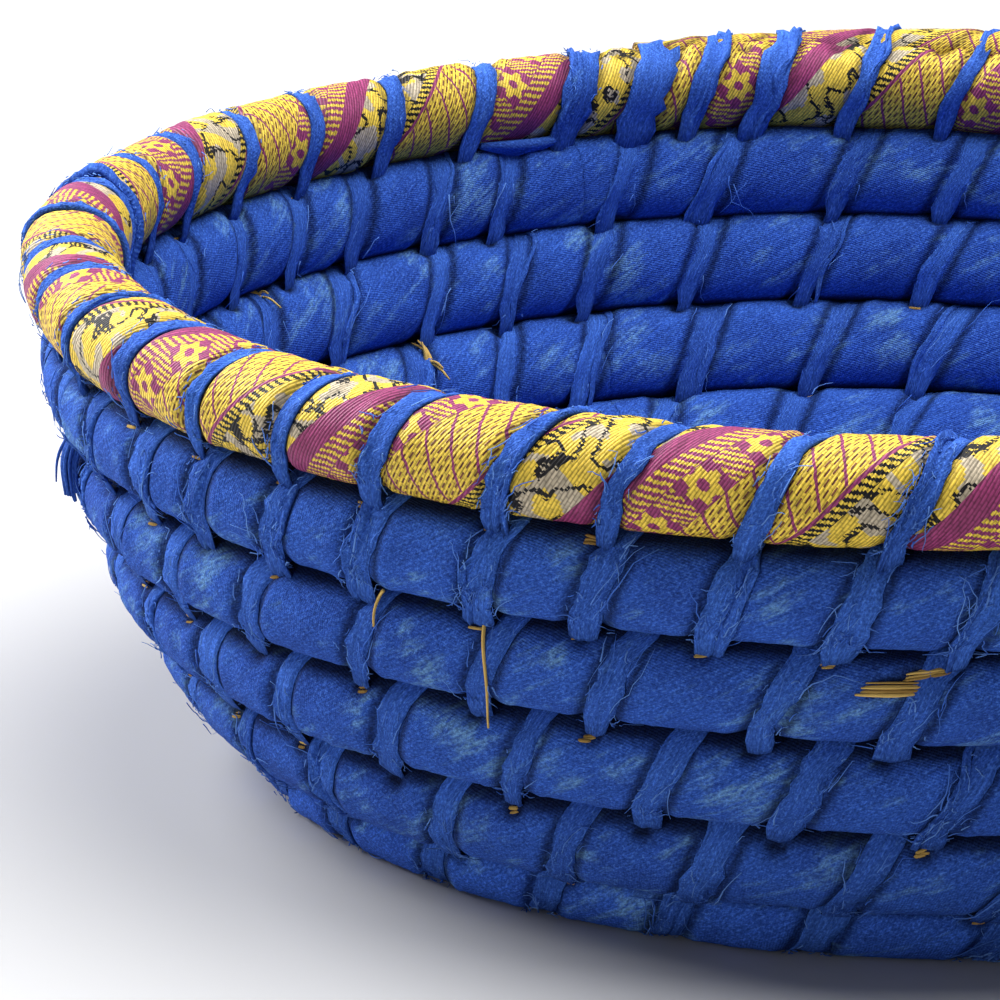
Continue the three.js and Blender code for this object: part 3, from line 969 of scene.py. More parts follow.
class Wire:
    """A node's output. Reckoning with it adds nodes to its tree."""

    def __init__(self, tree, socket):
        self.tree = tree
        self.socket = socket

    def math(self, operation, *others):
        return wire(self.tree, "ShaderNodeMath", dict(enumerate((self, *others))), operation=operation)

    def __add__(self, other):
        return self.math("ADD", other)

    def __sub__(self, other):
        return self.math("SUBTRACT", other)

    def __mul__(self, other):
        return self.math("MULTIPLY", other)

    def __truediv__(self, other):
        return self.math("DIVIDE", other)

    def __gt__(self, other):
        return self.math("GREATER_THAN", other)

    def __lt__(self, other):
        return self.math("LESS_THAN", other)

    def between(self, low, high):
        """1 between two limits, else 0."""
        return (self > low) * (self < high)

    def beat(self, length, part):
        """1 on the first part of each length, else 0."""
        return (self / length).math("FRACT") < part

    def ramp(self, low, high, to_low=0.0, to_high=1.0):
        """Eases from one value to another as this goes from a low limit to a high one."""
        inputs = {"Value": self, "From Min": low, "From Max": high, "To Min": to_low, "To Max": to_high}
        return wire(self.tree, "ShaderNodeMapRange", inputs, interpolation_type="SMOOTHSTEP")

    def spread(self, to_low, to_high):
        """Eases noise, most of which lies between two known limits, from one value to another."""
        return self.ramp(NOISE_LOW, NOISE_HIGH, to_low, to_high)

    def blend(self, a, b):
        """Colour a where this is 0, b where it is 1."""
        return wire(self.tree, "ShaderNodeMix", {0: self, 6: a, 7: b}, output=2, data_type="RGBA")

    def shade(self, colour):
        """A colour times this, lighter or darker."""
        grey = wire(self.tree, "ShaderNodeCombineColor", {0: self, 1: self, 2: self})
        inputs = {0: 1.0, 6: colour, 7: grey}
        return wire(self.tree, "ShaderNodeMix", inputs, output=2, data_type="RGBA", blend_type="MULTIPLY")

    def vector_math(self, operation, *others):
        return wire(self.tree, "ShaderNodeVectorMath", dict(enumerate((self, *others))), operation=operation)

    def parts(self):
        """The first two parts of this vector."""
        split = put(self.tree, "ShaderNodeSeparateXYZ", {0: self}).outputs
        return Wire(self.tree, split[0]), Wire(self.tree, split[1])

    def slanted(self):
        """This map turned so that its first axis follows the slanted turns of a wound strip."""
        inputs = {"Vector": self, "Angle": -STRIP_SLANT}
        return wire(self.tree, "ShaderNodeVectorRotate", inputs, rotation_type="Z_AXIS")

    def cloud(self, scale, detail=2.0, roughness=0.5):
        """Noise over this vector."""
        inputs = {"Vector": self, "Scale": scale, "Detail": detail, "Roughness": roughness}
        return wire(self.tree, "ShaderNodeTexNoise", inputs)

    def streaks(self, x, y, detail=2.0, roughness=0.5):
        """Noise over this vector with so many grains to a metre along its first two axes."""
        return self.vector_math("MULTIPLY", (x, y, 1.0)).cloud(1.0, detail, roughness)

    def drift(self, scale):
        """Random shifts from -0.5 to 0.5 over this vector."""
        inputs = {"Vector": self, "Scale": scale, "Detail": 1.0}
        noise = wire(self.tree, "ShaderNodeTexNoise", inputs, output=1)
        return noise.vector_math("SUBTRACT", (0.5, 0.5, 0.5))

    def bump(self, distance, strength, under=None):
        """A normal bent by this height, on top of another where one is given."""
        inputs = {"Height": self, "Distance": distance, "Strength": strength}
        if under is not None:
            inputs["Normal"] = under
        return wire(self.tree, "ShaderNodeBump", inputs)


def connect(value, socket):
    """Feeds a wire or a plain value to a node's input."""
    if isinstance(value, Wire):
        value.tree.links.new(value.socket, socket)
    else:
        socket.default_value = value


def put(tree, kind, inputs=None, **settings):
    """A new node with settings, whose inputs are wires or plain values."""
    made = tree.nodes.new(kind)
    for key, value in settings.items():
        setattr(made, key, value)
    for key, value in (inputs or {}).items():
        connect(value, made.inputs[key])
    return made


def wire(tree, kind, inputs=None, output=0, **settings):
    """A wire from one output of a new node."""
    return Wire(tree, put(tree, kind, inputs, **settings).outputs[output])


def wires(tree, sockets):
    """Wires from sockets, by their names."""
    return {socket.name: Wire(tree, socket) for socket in sockets}


def cloth_map(tree):
    return wire(tree, "ShaderNodeUVMap", uv_map=CLOTH_MAP)


def object_place(tree):
    return wire(tree, "ShaderNodeTexCoord", output="Object")


def noted(tree, name):
    """The value kept under a name for each point of a mesh."""
    return wire(tree, "ShaderNodeAttribute", output="Fac", attribute_name=name)


def crease_shade(tree, depth):
    """1 in the open, less by a depth where the mesh keeps painted shade, and more where it keeps painted
    light.
    """
    return noted(tree, "painted_shading") * -depth + 1.0


def new_group(name, vectors, value, outputs):
    """A shader node group: its tree, wires from its inputs by name, and the sockets of its outputs."""
    tree = bpy.data.node_groups.new(name, "ShaderNodeTree")
    for label in vectors:
        tree.interface.new_socket(label, in_out="INPUT", socket_type="NodeSocketVector")
    tree.interface.new_socket(value, in_out="INPUT", socket_type="NodeSocketFloat")
    for label in outputs:
        tree.interface.new_socket(label, in_out="OUTPUT", socket_type="NodeSocketFloat")
    given = wires(tree, tree.nodes.new("NodeGroupInput").outputs)
    return tree, given, tree.nodes.new("NodeGroupOutput").inputs


def use_group(tree, make, inputs):
    """Wires, by name, from the outputs of a group that is made once."""
    group = bpy.data.node_groups.get(make.__name__) or make()
    return wires(tree, put(tree, "ShaderNodeGroup", inputs, node_tree=group).outputs)


def plain_weave():
    """Plain weave from a map in metres: thread heights, and a shade that follows uneven yarns."""
    tree, given, result = new_group("plain_weave", ["Map"], "Threads", ["Height", "Shade"])
    moved = given["Map"].drift(420.0).vector_math("MULTIPLY_ADD", (0.6 * MM,) * 3, given["Map"])
    x, y = moved.parts()
    rate = given["Threads"] * math.pi
    crossing = (x * rate).math("SINE") * (y * rate).math("SINE")
    connect(crossing * 0.5 + 0.5, result["Height"])
    yarns = moved.streaks(170.0, 2600.0) * 0.65 + moved.streaks(2600.0, 170.0) * 0.35
    connect(yarns, result["Shade"])
    return tree


def faded_patches():
    """Faded patches of cloth, streaked along the slanted turns of the strips."""
    tree, given, result = new_group("faded_patches", ["Place", "Map"], "Least", ["Mask"])
    turned = given["Map"].slanted()
    worn = turned.streaks(85.0, 480.0, 3.0, 0.6) * 0.45 + given["Place"].cloud(95.0, 4.0, 0.6) * 0.55
    mask = worn.ramp(given["Least"], given["Least"] + 0.13)
    connect(mask * turned.streaks(700.0, 2200.0).ramp(0.25, 0.6), result["Mask"])
    return tree


# Materials


def new_material(name):
    material = bpy.data.materials.new(name)
    material.use_nodes = True
    tree = material.node_tree
    return material, tree, tree.nodes["Principled BSDF"]


def set_shader(shader, colour, roughness, specular, normal=None):
    """Feeds a shader wires or plain values."""
    inputs = {"Base Color": colour, "Roughness": roughness, "Specular IOR Level": specular}
    if normal is not None:
        inputs["Normal"] = normal
    for key, value in inputs.items():
        connect(value, shader.inputs[key])


def blue_cotton(colours):
    """Worn plain-weave cotton in strips of slightly different blues."""
    material, tree, shader = new_material("blue_cotton")
    place, flat = object_place(tree), cloth_map(tree)
    run, round_it = flat.parts()
    turned = flat.slanted()
    strip = (run / WRAP_ADVANCE - round_it / ROUND_IT).math("FLOOR")
    tone = wire(tree, "ShaderNodeTexWhiteNoise", {"W": strip}, noise_dimensions="1D")
    weave = use_group(tree, plain_weave, {"Map": turned, "Threads": 4300.0})
    worn = use_group(tree, faded_patches, {"Place": place, "Map": flat, "Least": 0.51})["Mask"]
    depth = tone * 0.3 + place.cloud(160.0, 4.0, 0.65).spread(0.0, 0.7)
    speck = turned.streaks(1900.0, 3300.0, 2.0, 0.7)
    faded = (worn * 0.65).blend(depth.blend(colours.cloth_deep, colours.cloth_blue), colours.cloth_faded)
    faded = speck.ramp(0.5, 0.75, 0.0, 0.2).blend(faded, colours.cloth_faded)
    shade = weave["Shade"].spread(0.78, 1.16) * speck.spread(0.6, 1.3)
    # Painted shade in the hollows and beside stitches, and painted light on the foot.
    shade = shade * crease_shade(tree, 0.9)
    folds = turned.streaks(150.0, 700.0, 3.0, 0.6).bump(0.6 * MM, 0.7)
    threads = (weave["Height"] + weave["Shade"]).bump(0.12 * MM, 0.8, folds)
    set_shader(shader, shade.shade(faded), weave["Height"].ramp(0.0, 1.0, 0.95, 0.8), 0.1, threads)
    return material


def stitch_cotton(colours):
    """The same cotton torn in narrow strips and folded, a little brighter."""
    material, tree, shader = new_material("stitch_cotton")
    place, flat = object_place(tree), cloth_map(tree)
    weave = use_group(tree, plain_weave, {"Map": flat, "Threads": 3600.0})
    worn = use_group(tree, faded_patches, {"Place": place, "Map": flat, "Least": 0.57})["Mask"]
    yarn = flat.streaks(260.0, 2300.0, 4.0, 0.7)
    speck = flat.streaks(1900.0, 3300.0, 2.0, 0.7)
    base = noted(tree, "tint").blend(colours.stitch_deep, colours.stitch_blue)
    faded = (worn * 0.45).blend(base, colours.cloth_faded)
    faded = speck.ramp(0.5, 0.75, 0.0, 0.25).blend(faded, colours.cloth_faded)
    shade = weave["Shade"].spread(0.78, 1.18) * yarn.spread(0.78, 1.16)
    # Painted shade on the strips' undersides and edges, and where they go into the round below.
    shade = shade * speck.spread(0.65, 1.25) * crease_shade(tree, 0.8)
    bumps = (yarn + speck + weave["Height"] * 0.5).bump(0.14 * MM, 0.8)
    set_shader(shader, shade.shade(faded), yarn.spread(0.95, 0.8), 0.1, bumps)
    return material


def blue_thread(colours):
    """Loose cotton threads, from the strips' blue to nearly white."""
    material, tree, shader = new_material("blue_thread")
    mixed = noted(tree, "tint").math("POWER", 1.2).blend(colours.stitch_blue, colours.thread_pale)
    set_shader(shader, mixed, object_place(tree).cloud(900.0).spread(0.8, 0.95), 0.1)
    return material


def dry_stalks(colours):
    """Dry stalks, streaked along their length, darker in places."""
    material, tree, shader = new_material("dry_stalks")
    streak = cloth_map(tree).streaks(110.0, 2400.0, 3.0, 0.6)
    share = noted(tree, "tint") * 0.65 + streak.spread(-0.1, 0.5)
    mixed = share.blend(colours.straw_dark, colours.straw)
    set_shader(shader, mixed, streak.spread(0.8, 0.55), 0.06, streak.bump(0.15 * MM, 0.8))
    return material


# The ribbon's bands, as shares of its width from its maroon edge on, and the sizes of its weave
COMBS = (0.11, 0.2)
FLOWERS = (0.205, 0.36)
FLOWER_MIDDLE = 0.275
GRAINS = (0.36, 0.665)
LADDER = (0.685, 0.735)
FLOWER_CELL = 9.0 * MM
FLOWER_RADIUS = 2.1 * MM
PETAL = 0.4 * MM
PETALS = 6.0
FLOWER_EYE = 0.7 * MM
BARS_FROM = 2.9 * MM  # from a flower's middle, along the ribbon
THREAD = 0.25 * MM
WARP = 0.44 * MM
WARP_FLOAT = 1.3 * MM
WARP_SHIFT = 0.47 * MM  # of the floats from one warp thread to the next
GRAIN_COURSE = 0.66 * MM
GRAIN_LENGTH = 1.75 * MM
GRAIN_SHIFT = 0.83 * MM
VEIN_GAP = 4.1 * MM
FIGURE_STEP = 0.42 * MM
STRIPE_ANGLE = 251.5  # degrees from +X where the maroon edge crosses the outside of the rim
STRIPE_SHIFT = 0.055  # of the design across the ribbon, as a share of its width


def ribbon_place(flat):
    """Places on the wound ribbon: share of its width, and metres across and along it."""
    run, round_it = flat.parts()
    slack = math.cos(RIBBON_LEAN) * ROUND_IT  # along the ribbon, from one turn to the next
    per_run = math.sin(RIBBON_LEAN) + slack / RIBBON_ADVANCE
    stripe_turns = RIM_ROW + STRIPE_ANGLE / 360 - LOOP_START
    stripe = float(run_at(stripe_turns)) / RIBBON_ADVANCE + SEAM / TURN
    wander = (flat.cloud(30.0, 1.0) - 0.5) * 0.1
    wound = run / RIBBON_ADVANCE - round_it / ROUND_IT + (STRIPE_SHIFT - stripe) + wander
    share = wound.math("FRACT")
    return share, share * RIBBON_WIDTH, run * per_run - share * slack


def gold_figures(share, x, y, slanted):
    """1 on the gold combs, flowers, bars and ladder of the ribbon, else 0."""
    comb = share.between(*COMBS) * slanted.beat(1.25 * MM, 0.52)
    off_x = x - FLOWER_MIDDLE * RIBBON_WIDTH
    off_y = ((y / FLOWER_CELL).math("FRACT") - 0.5) * FLOWER_CELL
    reach = (off_x * off_x + off_y * off_y).math("SQRT")
    edge = (off_x.math("ARCTAN2", off_y) * PETALS).math("COSINE") * PETAL + FLOWER_RADIUS
    flower = ((reach < edge) - (reach < FLOWER_EYE)).math("MAXIMUM", 0.0)
    bars = (off_y.math("ABSOLUTE") > BARS_FROM) * slanted.beat(0.95 * MM, 0.5)
    flowers = share.between(*FLOWERS) * flower.math("MAXIMUM", bars)
    ladder = share.between(*LADDER) * slanted.beat(1.1 * MM, 0.5)
    return comb.math("MAXIMUM", flowers).math("MAXIMUM", ladder)


def ribbon_ground(share, colours):
    """The ribbon's plain bands of colour."""
    ground = put(share.tree, "ShaderNodeValToRGB", {0: share})
    ramp = ground.color_ramp
    ramp.interpolation = "CONSTANT"
    bands = [(0.0, colours.maroon), (GRAINS[0], colours.gold), (GRAINS[1], colours.maroon)]
    bands += [(LADDER[0], colours.black), (LADDER[1], colours.gold)]
    while len(ramp.elements) < len(bands):
        ramp.elements.new(1.0)
    for element, (position, value) in zip(ramp.elements, bands):
        element.position = position
        element.color = value
    return Wire(share.tree, ground.outputs[0])


def brocade(colours):
    """Gold, maroon and black woven ribbon, wound on the slant: stripes, combs, flowers, grains and steps."""
    material, tree, shader = new_material("brocade")
    flat = cloth_map(tree)
    share, x, y = ribbon_place(flat)
    leaning = y * 0.2 + x
    twill = (leaning * (TURN / WARP)).math("SINE")
    uneven = wire(tree, "ShaderNodeCombineXYZ", {0: leaning, 1: y}).streaks(2600.0, 420.0, 2.0, 0.6)
    drift_x, drift_y = flat.drift(650.0).parts()
    x = drift_x * (0.6 * MM) + x
    y = drift_y * (0.45 * MM) + y
    thread_x, thread_y = x.math("SNAP", THREAD), y.math("SNAP", THREAD)
    slanted = thread_x * -0.67 + thread_y
    figures = gold_figures(share, thread_x, thread_y, slanted)
    painted = figures.blend(ribbon_ground(share, colours), colours.gold)
    course = (leaning / GRAIN_COURSE).math("FLOOR")
    grain = leaning.beat(GRAIN_COURSE, 0.36) * (course * GRAIN_SHIFT + y).beat(GRAIN_LENGTH, 0.6)
    painted = (grain * share.between(*GRAINS)).blend(painted, colours.gold_deep)
    vein = (x * 0.7 + y).beat(VEIN_GAP, 0.11)
    painted = (vein * share.between(*GRAINS)).blend(painted, colours.maroon)
    stepped = wire(tree, "ShaderNodeCombineXYZ", {0: x, 1: y}).vector_math("SNAP", (FIGURE_STEP,) * 3)
    line = stepped.cloud(170.0, 1.0)
    figured = share > LADDER[1]
    painted = (figured * (stepped.cloud(260.0, 0.0) > 0.55)).blend(painted, colours.beige)
    broken = slanted.beat(0.8 * MM, 0.62).math("MAXIMUM", line.between(0.485, 0.51))
    painted = (figured * broken * line.between(0.468, 0.52)).blend(painted, colours.black)
    warp = (leaning / WARP + 0.25).math("FLOOR")
    floats = ((warp * WARP_SHIFT + y) / WARP_FLOAT).math("FRACT")
    ends = (floats - 0.5).math("ABSOLUTE").ramp(0.34, 0.5, 1.0, 0.68)
    shade = twill.ramp(-0.95, 0.1, 0.56, 1.08) * ends * uneven.spread(0.75, 1.3)
    # Painted shade under the rim and beside its stitches.
    shade = shade * crease_shade(tree, 0.62)
    raised = (figures * 0.8 + twill * 0.25 - grain * 0.7).bump(0.16 * MM, 0.9)
    set_shader(shader, shade.shade(painted), twill.ramp(-1.0, 1.0, 0.65, 0.42), 0.22, raised)
    return material


def floor_paper(colours):
    """Plain pale paper, a little uneven."""
    material, tree, shader = new_material("floor_paper")
    uneven = object_place(tree).cloud(6.0).spread(0.985, 1.0)
    set_shader(shader, uneven.shade(colours.floor), 0.8, 0.1)
    return material


def ready_material(make, colours):
    """A material by its maker's name, made once."""
    return bpy.data.materials.get(make.__name__) or make(colours)


# Settings


def length_property(label, meaning, value):
    return FloatProperty(name=label, description=meaning, default=value, unit="LENGTH", precision=5)


def share_property(label, meaning, value):
    return FloatProperty(name=label, description=meaning, default=value, min=0, max=1)


def turns_property(label, meaning, value):
    return FloatProperty(name=label, description=meaning, default=value, precision=4)


def count_property(label, meaning, value, least=0):
    return IntProperty(name=label, description=meaning, default=value, min=least)


def list_property(label, meaning, values, unit="NONE"):
    return FloatVectorProperty(name=label, description=meaning, size=len(values), default=values, unit=unit)


def colour_property(label, meaning, red, green, blue):
    return FloatVectorProperty(
        name=label,
        description=meaning,
        default=(red, green, blue, 1.0),
        subtype="COLOR",
        size=4,
        min=0,
        max=1,
    )


class BasketSizes(bpy.types.PropertyGroup):
    """Sizes and counts that a user may change."""

    stitch_width: length_property("Stitch width", "Width of the folded strips that sew the rounds", 4.1 * MM)
    stitch_thickness: length_property("Stitch thickness", "Thickness of those strips in the open", 1.05 * MM)
    stitch_reach: length_property("Stitch reach", "How far a stitch goes past its own round", 3.3 * MM)
    rim_stitch_share: share_property("Rim stitch share", "Width of the rim's stitches to the wall's", 0.75)
    wall_stitch_share: share_property("Wall stitch share", "Thickness of the wall's ones to the rim's", 0.72)
    twin_share: share_property("Twin share", "Share of the stitches with a loose second strand", 0.4)
    base_stitch_gap: length_property("Base stitch gap", "Distance between the stitches of the base", 19 * MM)
    groove_depth: length_property("Groove depth", "How deep a stitch pulls into the coil", 0.85 * MM)
    thread_thickness: length_property("Thread thickness", "Thickness of a frayed thread", 0.2 * MM)
    threads_per_stitch: count_property("Threads per stitch", "Frayed threads outside", 9)
    fuzz_per_stitch: count_property("Fuzz per stitch", "Short threads outside", 22)
    tear_turns: turns_property("Tear turns", "Turns of the coil where the cloth is torn", 9.4122)
    loose_end_turns: turns_property("Loose end", "Turns of the coil at the loose end of a strip", 9.2075)
    tuft_places: list_property(
        "Tuft places", "Turns and degrees of two straw tufts inside", (9.0912, 112, 8.0484, 150)
    )
    cloth_step: length_property("Cloth step", "Length of the cloth's faces along the coil", 0.72 * MM)
    cloth_sides: count_property("Cloth sides", "Faces round the coil", 48, 12)
    stitches_per_round: IntVectorProperty(
        name="Stitches per round",
        description="From the foot up to the rim",
        size=6,
        default=(31, 34, 37, 39, 48, 45),
    )
    stitch_angles: list_property(
        "Stitch angles",
        "Degrees from +X of one stitch of each of those rounds",
        (250.0, 253.9, 251.7, 250.9, 249.8, 252.5),
    )
    tail_binding_span: list_property(
        "Tail binding span", "Degrees from +X over which the tail's end is bound", (99.0, 123.0)
    )
    tail_binding_angles: list_property(
        "Tail binding angles", "Degrees from +X of the strips that bind it", (100.0, 105.3, 109.8, 115.8)
    )
    tail_binding_widths: list_property(
        "Tail binding widths", "Their widths", (4.4 * MM, 3.6 * MM, 6.6 * MM, 5.2 * MM), "LENGTH"
    )


class BasketColours(bpy.types.PropertyGroup):
    """Colours of the cloth, ribbon, threads and grass."""

    cloth_blue: colour_property("Cloth blue", "Blue of the cotton", 0.034, 0.113, 0.52)
    cloth_deep: colour_property("Deep blue", "Darker patches of the cotton", 0.021, 0.069, 0.36)
    cloth_faded: colour_property("Faded blue", "Worn patches", 0.17, 0.36, 0.58)
    stitch_blue: colour_property("Stitch blue", "Brighter sewing strips", 0.042, 0.13, 0.54)
    stitch_deep: colour_property("Deep stitch blue", "Darker sewing strips", 0.029, 0.092, 0.425)
    thread_pale: colour_property("Pale thread", "Palest loose threads", 0.14, 0.29, 0.68)
    gold: colour_property("Gold", "Ribbon's gold threads", 0.82, 0.575, 0.066)
    gold_deep: colour_property("Deep gold", "Gaps between gold threads", 0.17, 0.055, 0.03)
    maroon: colour_property("Maroon", "Ribbon's maroon threads", 0.29, 0.042, 0.14)
    black: colour_property("Black", "Ribbon's black threads", 0.007, 0.006, 0.008)
    beige: colour_property("Beige", "Ribbon's grey-beige threads", 0.5, 0.42, 0.3)
    straw: colour_property("Straw", "Dry grass in the light", 0.85, 0.58, 0.17)
    straw_dark: colour_property("Dark straw", "Old grass", 0.2, 0.1, 0.025)
    floor: colour_property("Floor", "Plain pale floor", 0.45, 0.45, 0.455)


def plan(context):
    """The settings, the planned stitches and the grooves that they press."""
    sizes = context.scene.basket_sizes
    stitches = plan_stitches(sizes)
    return sizes, context.scene.basket_colours, stitches, groove_lines(stitches)


# Pieces


class BASKET_OT_grass_core(bpy.types.Operator):
    """Lays the grass bundle along the whole coil"""

    bl_idname = "basket.grass_core"
    bl_label = "Grass core"

    def execute(self, context):
        piece = grass_bundle(np.random.default_rng(STALK_SEED))
        material = ready_material(dry_stalks, context.scene.basket_colours)
        finish_piece(piece, material, "dried_grass", "grass_core")
        return {"FINISHED"}


class BASKET_OT_cloth_wraps(bpy.types.Operator):
    """Winds the blue cloth on the base and on the five rounds of the wall"""

    bl_idname = "basket.cloth_wraps"
    bl_label = "Cloth wraps"

    def execute(self, context):
        sizes, colours, _, lines = plan(context)
        ends = {"base_wrap_1": (FIRST_TURN, BASE_SPLIT), "base_wrap_2": (BASE_SPLIT, float(FOOT_ROW))}
        for i in range(WALL_ROWS):
            ends[f"wall_wrap_{i + 1}"] = (float(FOOT_ROW + i), float(FOOT_ROW + i + 1))
        ends[f"wall_wrap_{WALL_ROWS}"] = (RIM_ROW - 1.0, RIBBON_FROM)
        for name, (first, last) in ends.items():
            piece = wound_sleeve(sizes, lines, name + "_cloth", first, last, WRAP_ADVANCE)
            finish_piece(piece, ready_material(blue_cotton, colours), "blue_cloth", name)
        return {"FINISHED"}


class BASKET_OT_rim_ribbon(bpy.types.Operator):
    """Winds the brocade ribbon on the rim and the tail"""

    bl_idname = "basket.rim_ribbon"
    bl_label = "Rim ribbon"

    def execute(self, context):
        sizes, colours, _, lines = plan(context)
        piece = wound_sleeve(sizes, lines, "rim_ribbon_cloth", RIBBON_FROM, LAST_TURN, RIBBON_ADVANCE)
        finish_piece(piece, ready_material(brocade, colours), "brocade_ribbon", "rim_ribbon")
        return {"FINISHED"}


class BASKET_OT_stitches(bpy.types.Operator):
    """Sews each round to the round below it with folded strips"""

    bl_idname = "basket.stitches"
    bl_label = "Stitches"

    def execute(self, context):
        sizes, colours, stitches, lines = plan(context)
        rng = np.random.default_rng(STRIP_SEED)
        for name in sorted({s.piece for s in stitches}):
            own = [s for s in stitches if s.piece == name]
            piece = lay_strips(sizes, lines, name + "_cloth", own, rng)
            nodes = [name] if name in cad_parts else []
            finish_piece(piece, ready_material(stitch_cotton, colours), "stitch_cloth", *nodes)
        return {"FINISHED"}


class BASKET_OT_frayed_threads(bpy.types.Operator):
    """Frays the edges of the strips"""

    bl_idname = "basket.frayed_threads"
    bl_label = "Frayed threads"

    def execute(self, context):
        sizes, colours, stitches, lines = plan(context)
        rng = np.random.default_rng(THREAD_SEED)
        wall = [s for s in stitches if s.piece.startswith("wall")]
        rim = [s for s in stitches if s.piece.startswith("rim") and s.turns > LAST_TURN - 1]
        long, short = sizes.threads_per_stitch, sizes.fuzz_per_stitch
        made = [
            fray(sizes, lines, "wall_threads", wall, rng, long, (-66, 50), 3.7 * MM),
            fray(sizes, lines, "wall_fuzz", wall, rng, short, (-70, 60), 1.3 * MM, 4),
            fray(sizes, lines, "inner_threads", wall, rng, long // 3, (240, 130), 3.0 * MM, 5),
            fray(sizes, lines, "rim_threads", rim, rng, long, (-66, 40), 2.6 * MM),
            fray(sizes, lines, "rim_fuzz", rim, rng, 2 * short, (-60, 200), 1.2 * MM, 4),
        ]
        for piece in made:
            finish_piece(piece, ready_material(blue_thread, colours), "stitch_cloth")
        return {"FINISHED"}


class BASKET_OT_straw_bits(bpy.types.Operator):
    """Shows stalks at the holes of the stitches, through a tear and worked loose"""

    bl_idname = "basket.straw_bits"
    bl_label = "Straw bits"

    def execute(self, context):
        sizes, colours, stitches, lines = plan(context)
        rng = np.random.default_rng(STRAW_SEED)
        main = [s for s in stitches if not s.twin]
        made = [straw_ends(sizes, lines, main, rng)]
        made += [torn_patch(sizes, lines, rng), loose_straw(sizes, lines, rng)]
        for piece in made:
            finish_piece(piece, ready_material(dry_stalks, colours), "dried_grass")
        return {"FINISHED"}


class BASKET_OT_loose_strips(bpy.types.Operator):
    """Leaves the ends of two sewing strips loose"""

    bl_idname = "basket.loose_strips"
    bl_label = "Loose strips"

    def execute(self, context):
        sizes, colours, _, lines = plan(context)
        piece = loose_strip(sizes, lines, np.random.default_rng(LOOSE_SEED))
        finish_piece(piece, ready_material(stitch_cotton, colours), "stitch_cloth")
        return {"FINISHED"}


# Stage

CAMERA_DISTANCE = 872.2 * MM  # from the middle of the rim
CAMERA_RISE = math.radians(13.536)  # above the rim, seen from its middle
CAMERA_YAW = math.radians(-3.997)  # to the left of the rim's middle
CAMERA_PITCH = math.radians(15.676)
CAMERA_FIELD = math.radians(8.7248)
RIM_HEIGHT = 66.24 * MM
FLOOR_SIZE = 8.0
FLOOR_DROP = 0.1 * MM  # of the floor below the basket's underside
# Name, place and aim in metres, size across and power in watts of each light
STUDIO_LIGHTS = (
    ("key", (-1.0, 0.5, 0.78), (0, 0.05, 0.03), 1.0, 34.0),
    ("top", (0.22, 0.05, 1.12), (0, 0.02, 0.03), 1.2, 23.5),
    ("fill", (-0.85, -1.05, 0.06), (-0.05, -0.05, 0.03), 0.8, 4.2),
)
WHITE = (1, 1, 1, 1)
COOL_WHITE = (0.95, 0.97, 1, 1)
ROOM_LIGHT = 0.17


def studio_light(name, place, aim, size, power):
    bpy.ops.object.light_add(type="AREA", location=place)
    light = bpy.context.object
    light.name = name
    light.data.shape = "DISK"
    light.data.size = size
    light.data.energy = power
    light.rotation_mode = "QUATERNION"
    light.rotation_quaternion = (Vector(aim) - Vector(place)).to_track_quat("-Z", "Y")


def studio_world():
    """White to the camera, an even pale light to everything else."""
    world = bpy.data.worlds.new("studio")
    bpy.context.scene.world = world
    world.use_nodes = True
    tree = world.node_tree
    tree.nodes.clear()
    seen = wire(tree, "ShaderNodeBackground", {"Color": WHITE, "Strength": 1.0})
    lit = wire(tree, "ShaderNodeBackground", {"Color": COOL_WHITE, "Strength": ROOM_LIGHT})
    to_camera = wire(tree, "ShaderNodeLightPath", output="Is Camera Ray")
    mixed = wire(tree, "ShaderNodeMixShader", {0: to_camera, 1: lit, 2: seen})
    put(tree, "ShaderNodeOutputWorld", {"Surface": mixed})


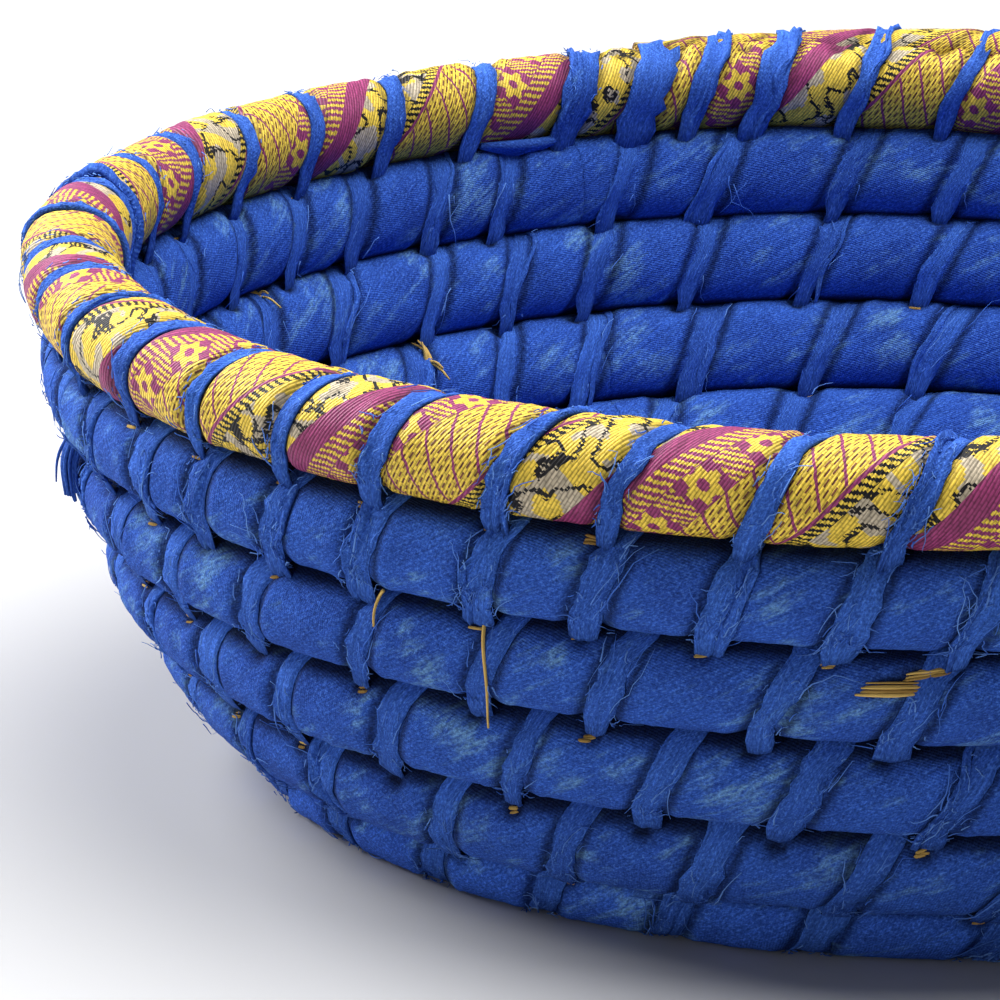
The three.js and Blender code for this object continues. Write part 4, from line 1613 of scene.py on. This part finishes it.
class BASKET_OT_stage(bpy.types.Operator):
    """Sets the floor, the lights and the camera"""

    bl_idname = "basket.stage"
    bl_label = "Stage"

    def execute(self, context):
        deselect()
        bpy.ops.mesh.primitive_grid_add(x_subdivisions=8, y_subdivisions=8, size=FLOOR_SIZE)
        floor = bpy.context.object
        floor.name = "floor"
        bpy.ops.transform.translate(value=(0, 0, -FLOOR_DROP))
        bpy.ops.object.transform_apply(location=True)
        floor.data.materials.append(ready_material(floor_paper, context.scene.basket_colours))
        studio_world()
        for light in STUDIO_LIGHTS:
            studio_light(*light)
        bpy.ops.object.camera_add()
        camera = bpy.context.object
        camera.name = "camera"
        camera.data.sensor_width = 36.0
        camera.data.lens = camera.data.sensor_width / 2 / math.tan(CAMERA_FIELD / 2)
        camera.data.clip_start = 0.05
        back = CAMERA_DISTANCE * math.cos(CAMERA_RISE)
        camera.location = (0, -back, RIM_HEIGHT + CAMERA_DISTANCE * math.sin(CAMERA_RISE))
        ahead = Vector((math.sin(CAMERA_YAW), math.cos(CAMERA_YAW), -math.tan(CAMERA_PITCH)))
        camera.rotation_mode = "QUATERNION"
        camera.rotation_quaternion = ahead.to_track_quat("-Z", "Y")
        context.scene.camera = camera
        context.scene.view_settings.view_transform = "Standard"
        return {"FINISHED"}


class BASKET_PT_pieces(bpy.types.Panel):
    """Lists the pieces of the basket"""

    bl_idname = "BASKET_PT_pieces"
    bl_label = "Coiled basket"
    bl_space_type = "VIEW_3D"
    bl_region_type = "UI"
    bl_category = "Basket"

    def draw(self, context):
        for step in STEPS:
            self.layout.operator(step.bl_idname)


STEPS = (
    BASKET_OT_stage,
    BASKET_OT_grass_core,
    BASKET_OT_cloth_wraps,
    BASKET_OT_rim_ribbon,
    BASKET_OT_stitches,
    BASKET_OT_frayed_threads,
    BASKET_OT_straw_bits,
    BASKET_OT_loose_strips,
)
CLASSES = (BasketSizes, BasketColours, *STEPS, BASKET_PT_pieces)


def register():
    for each in CLASSES:
        bpy.utils.register_class(each)
    bpy.types.Scene.basket_sizes = PointerProperty(type=BasketSizes)
    bpy.types.Scene.basket_colours = PointerProperty(type=BasketColours)


def unregister():
    del bpy.types.Scene.basket_sizes
    del bpy.types.Scene.basket_colours
    for each in reversed(CLASSES):
        bpy.utils.unregister_class(each)


def main():
    register()
    for step in STEPS:
        group, name = step.bl_idname.split(".")
        getattr(getattr(bpy.ops, group), name)()
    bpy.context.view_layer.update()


if __name__ == "__main__":
    main()
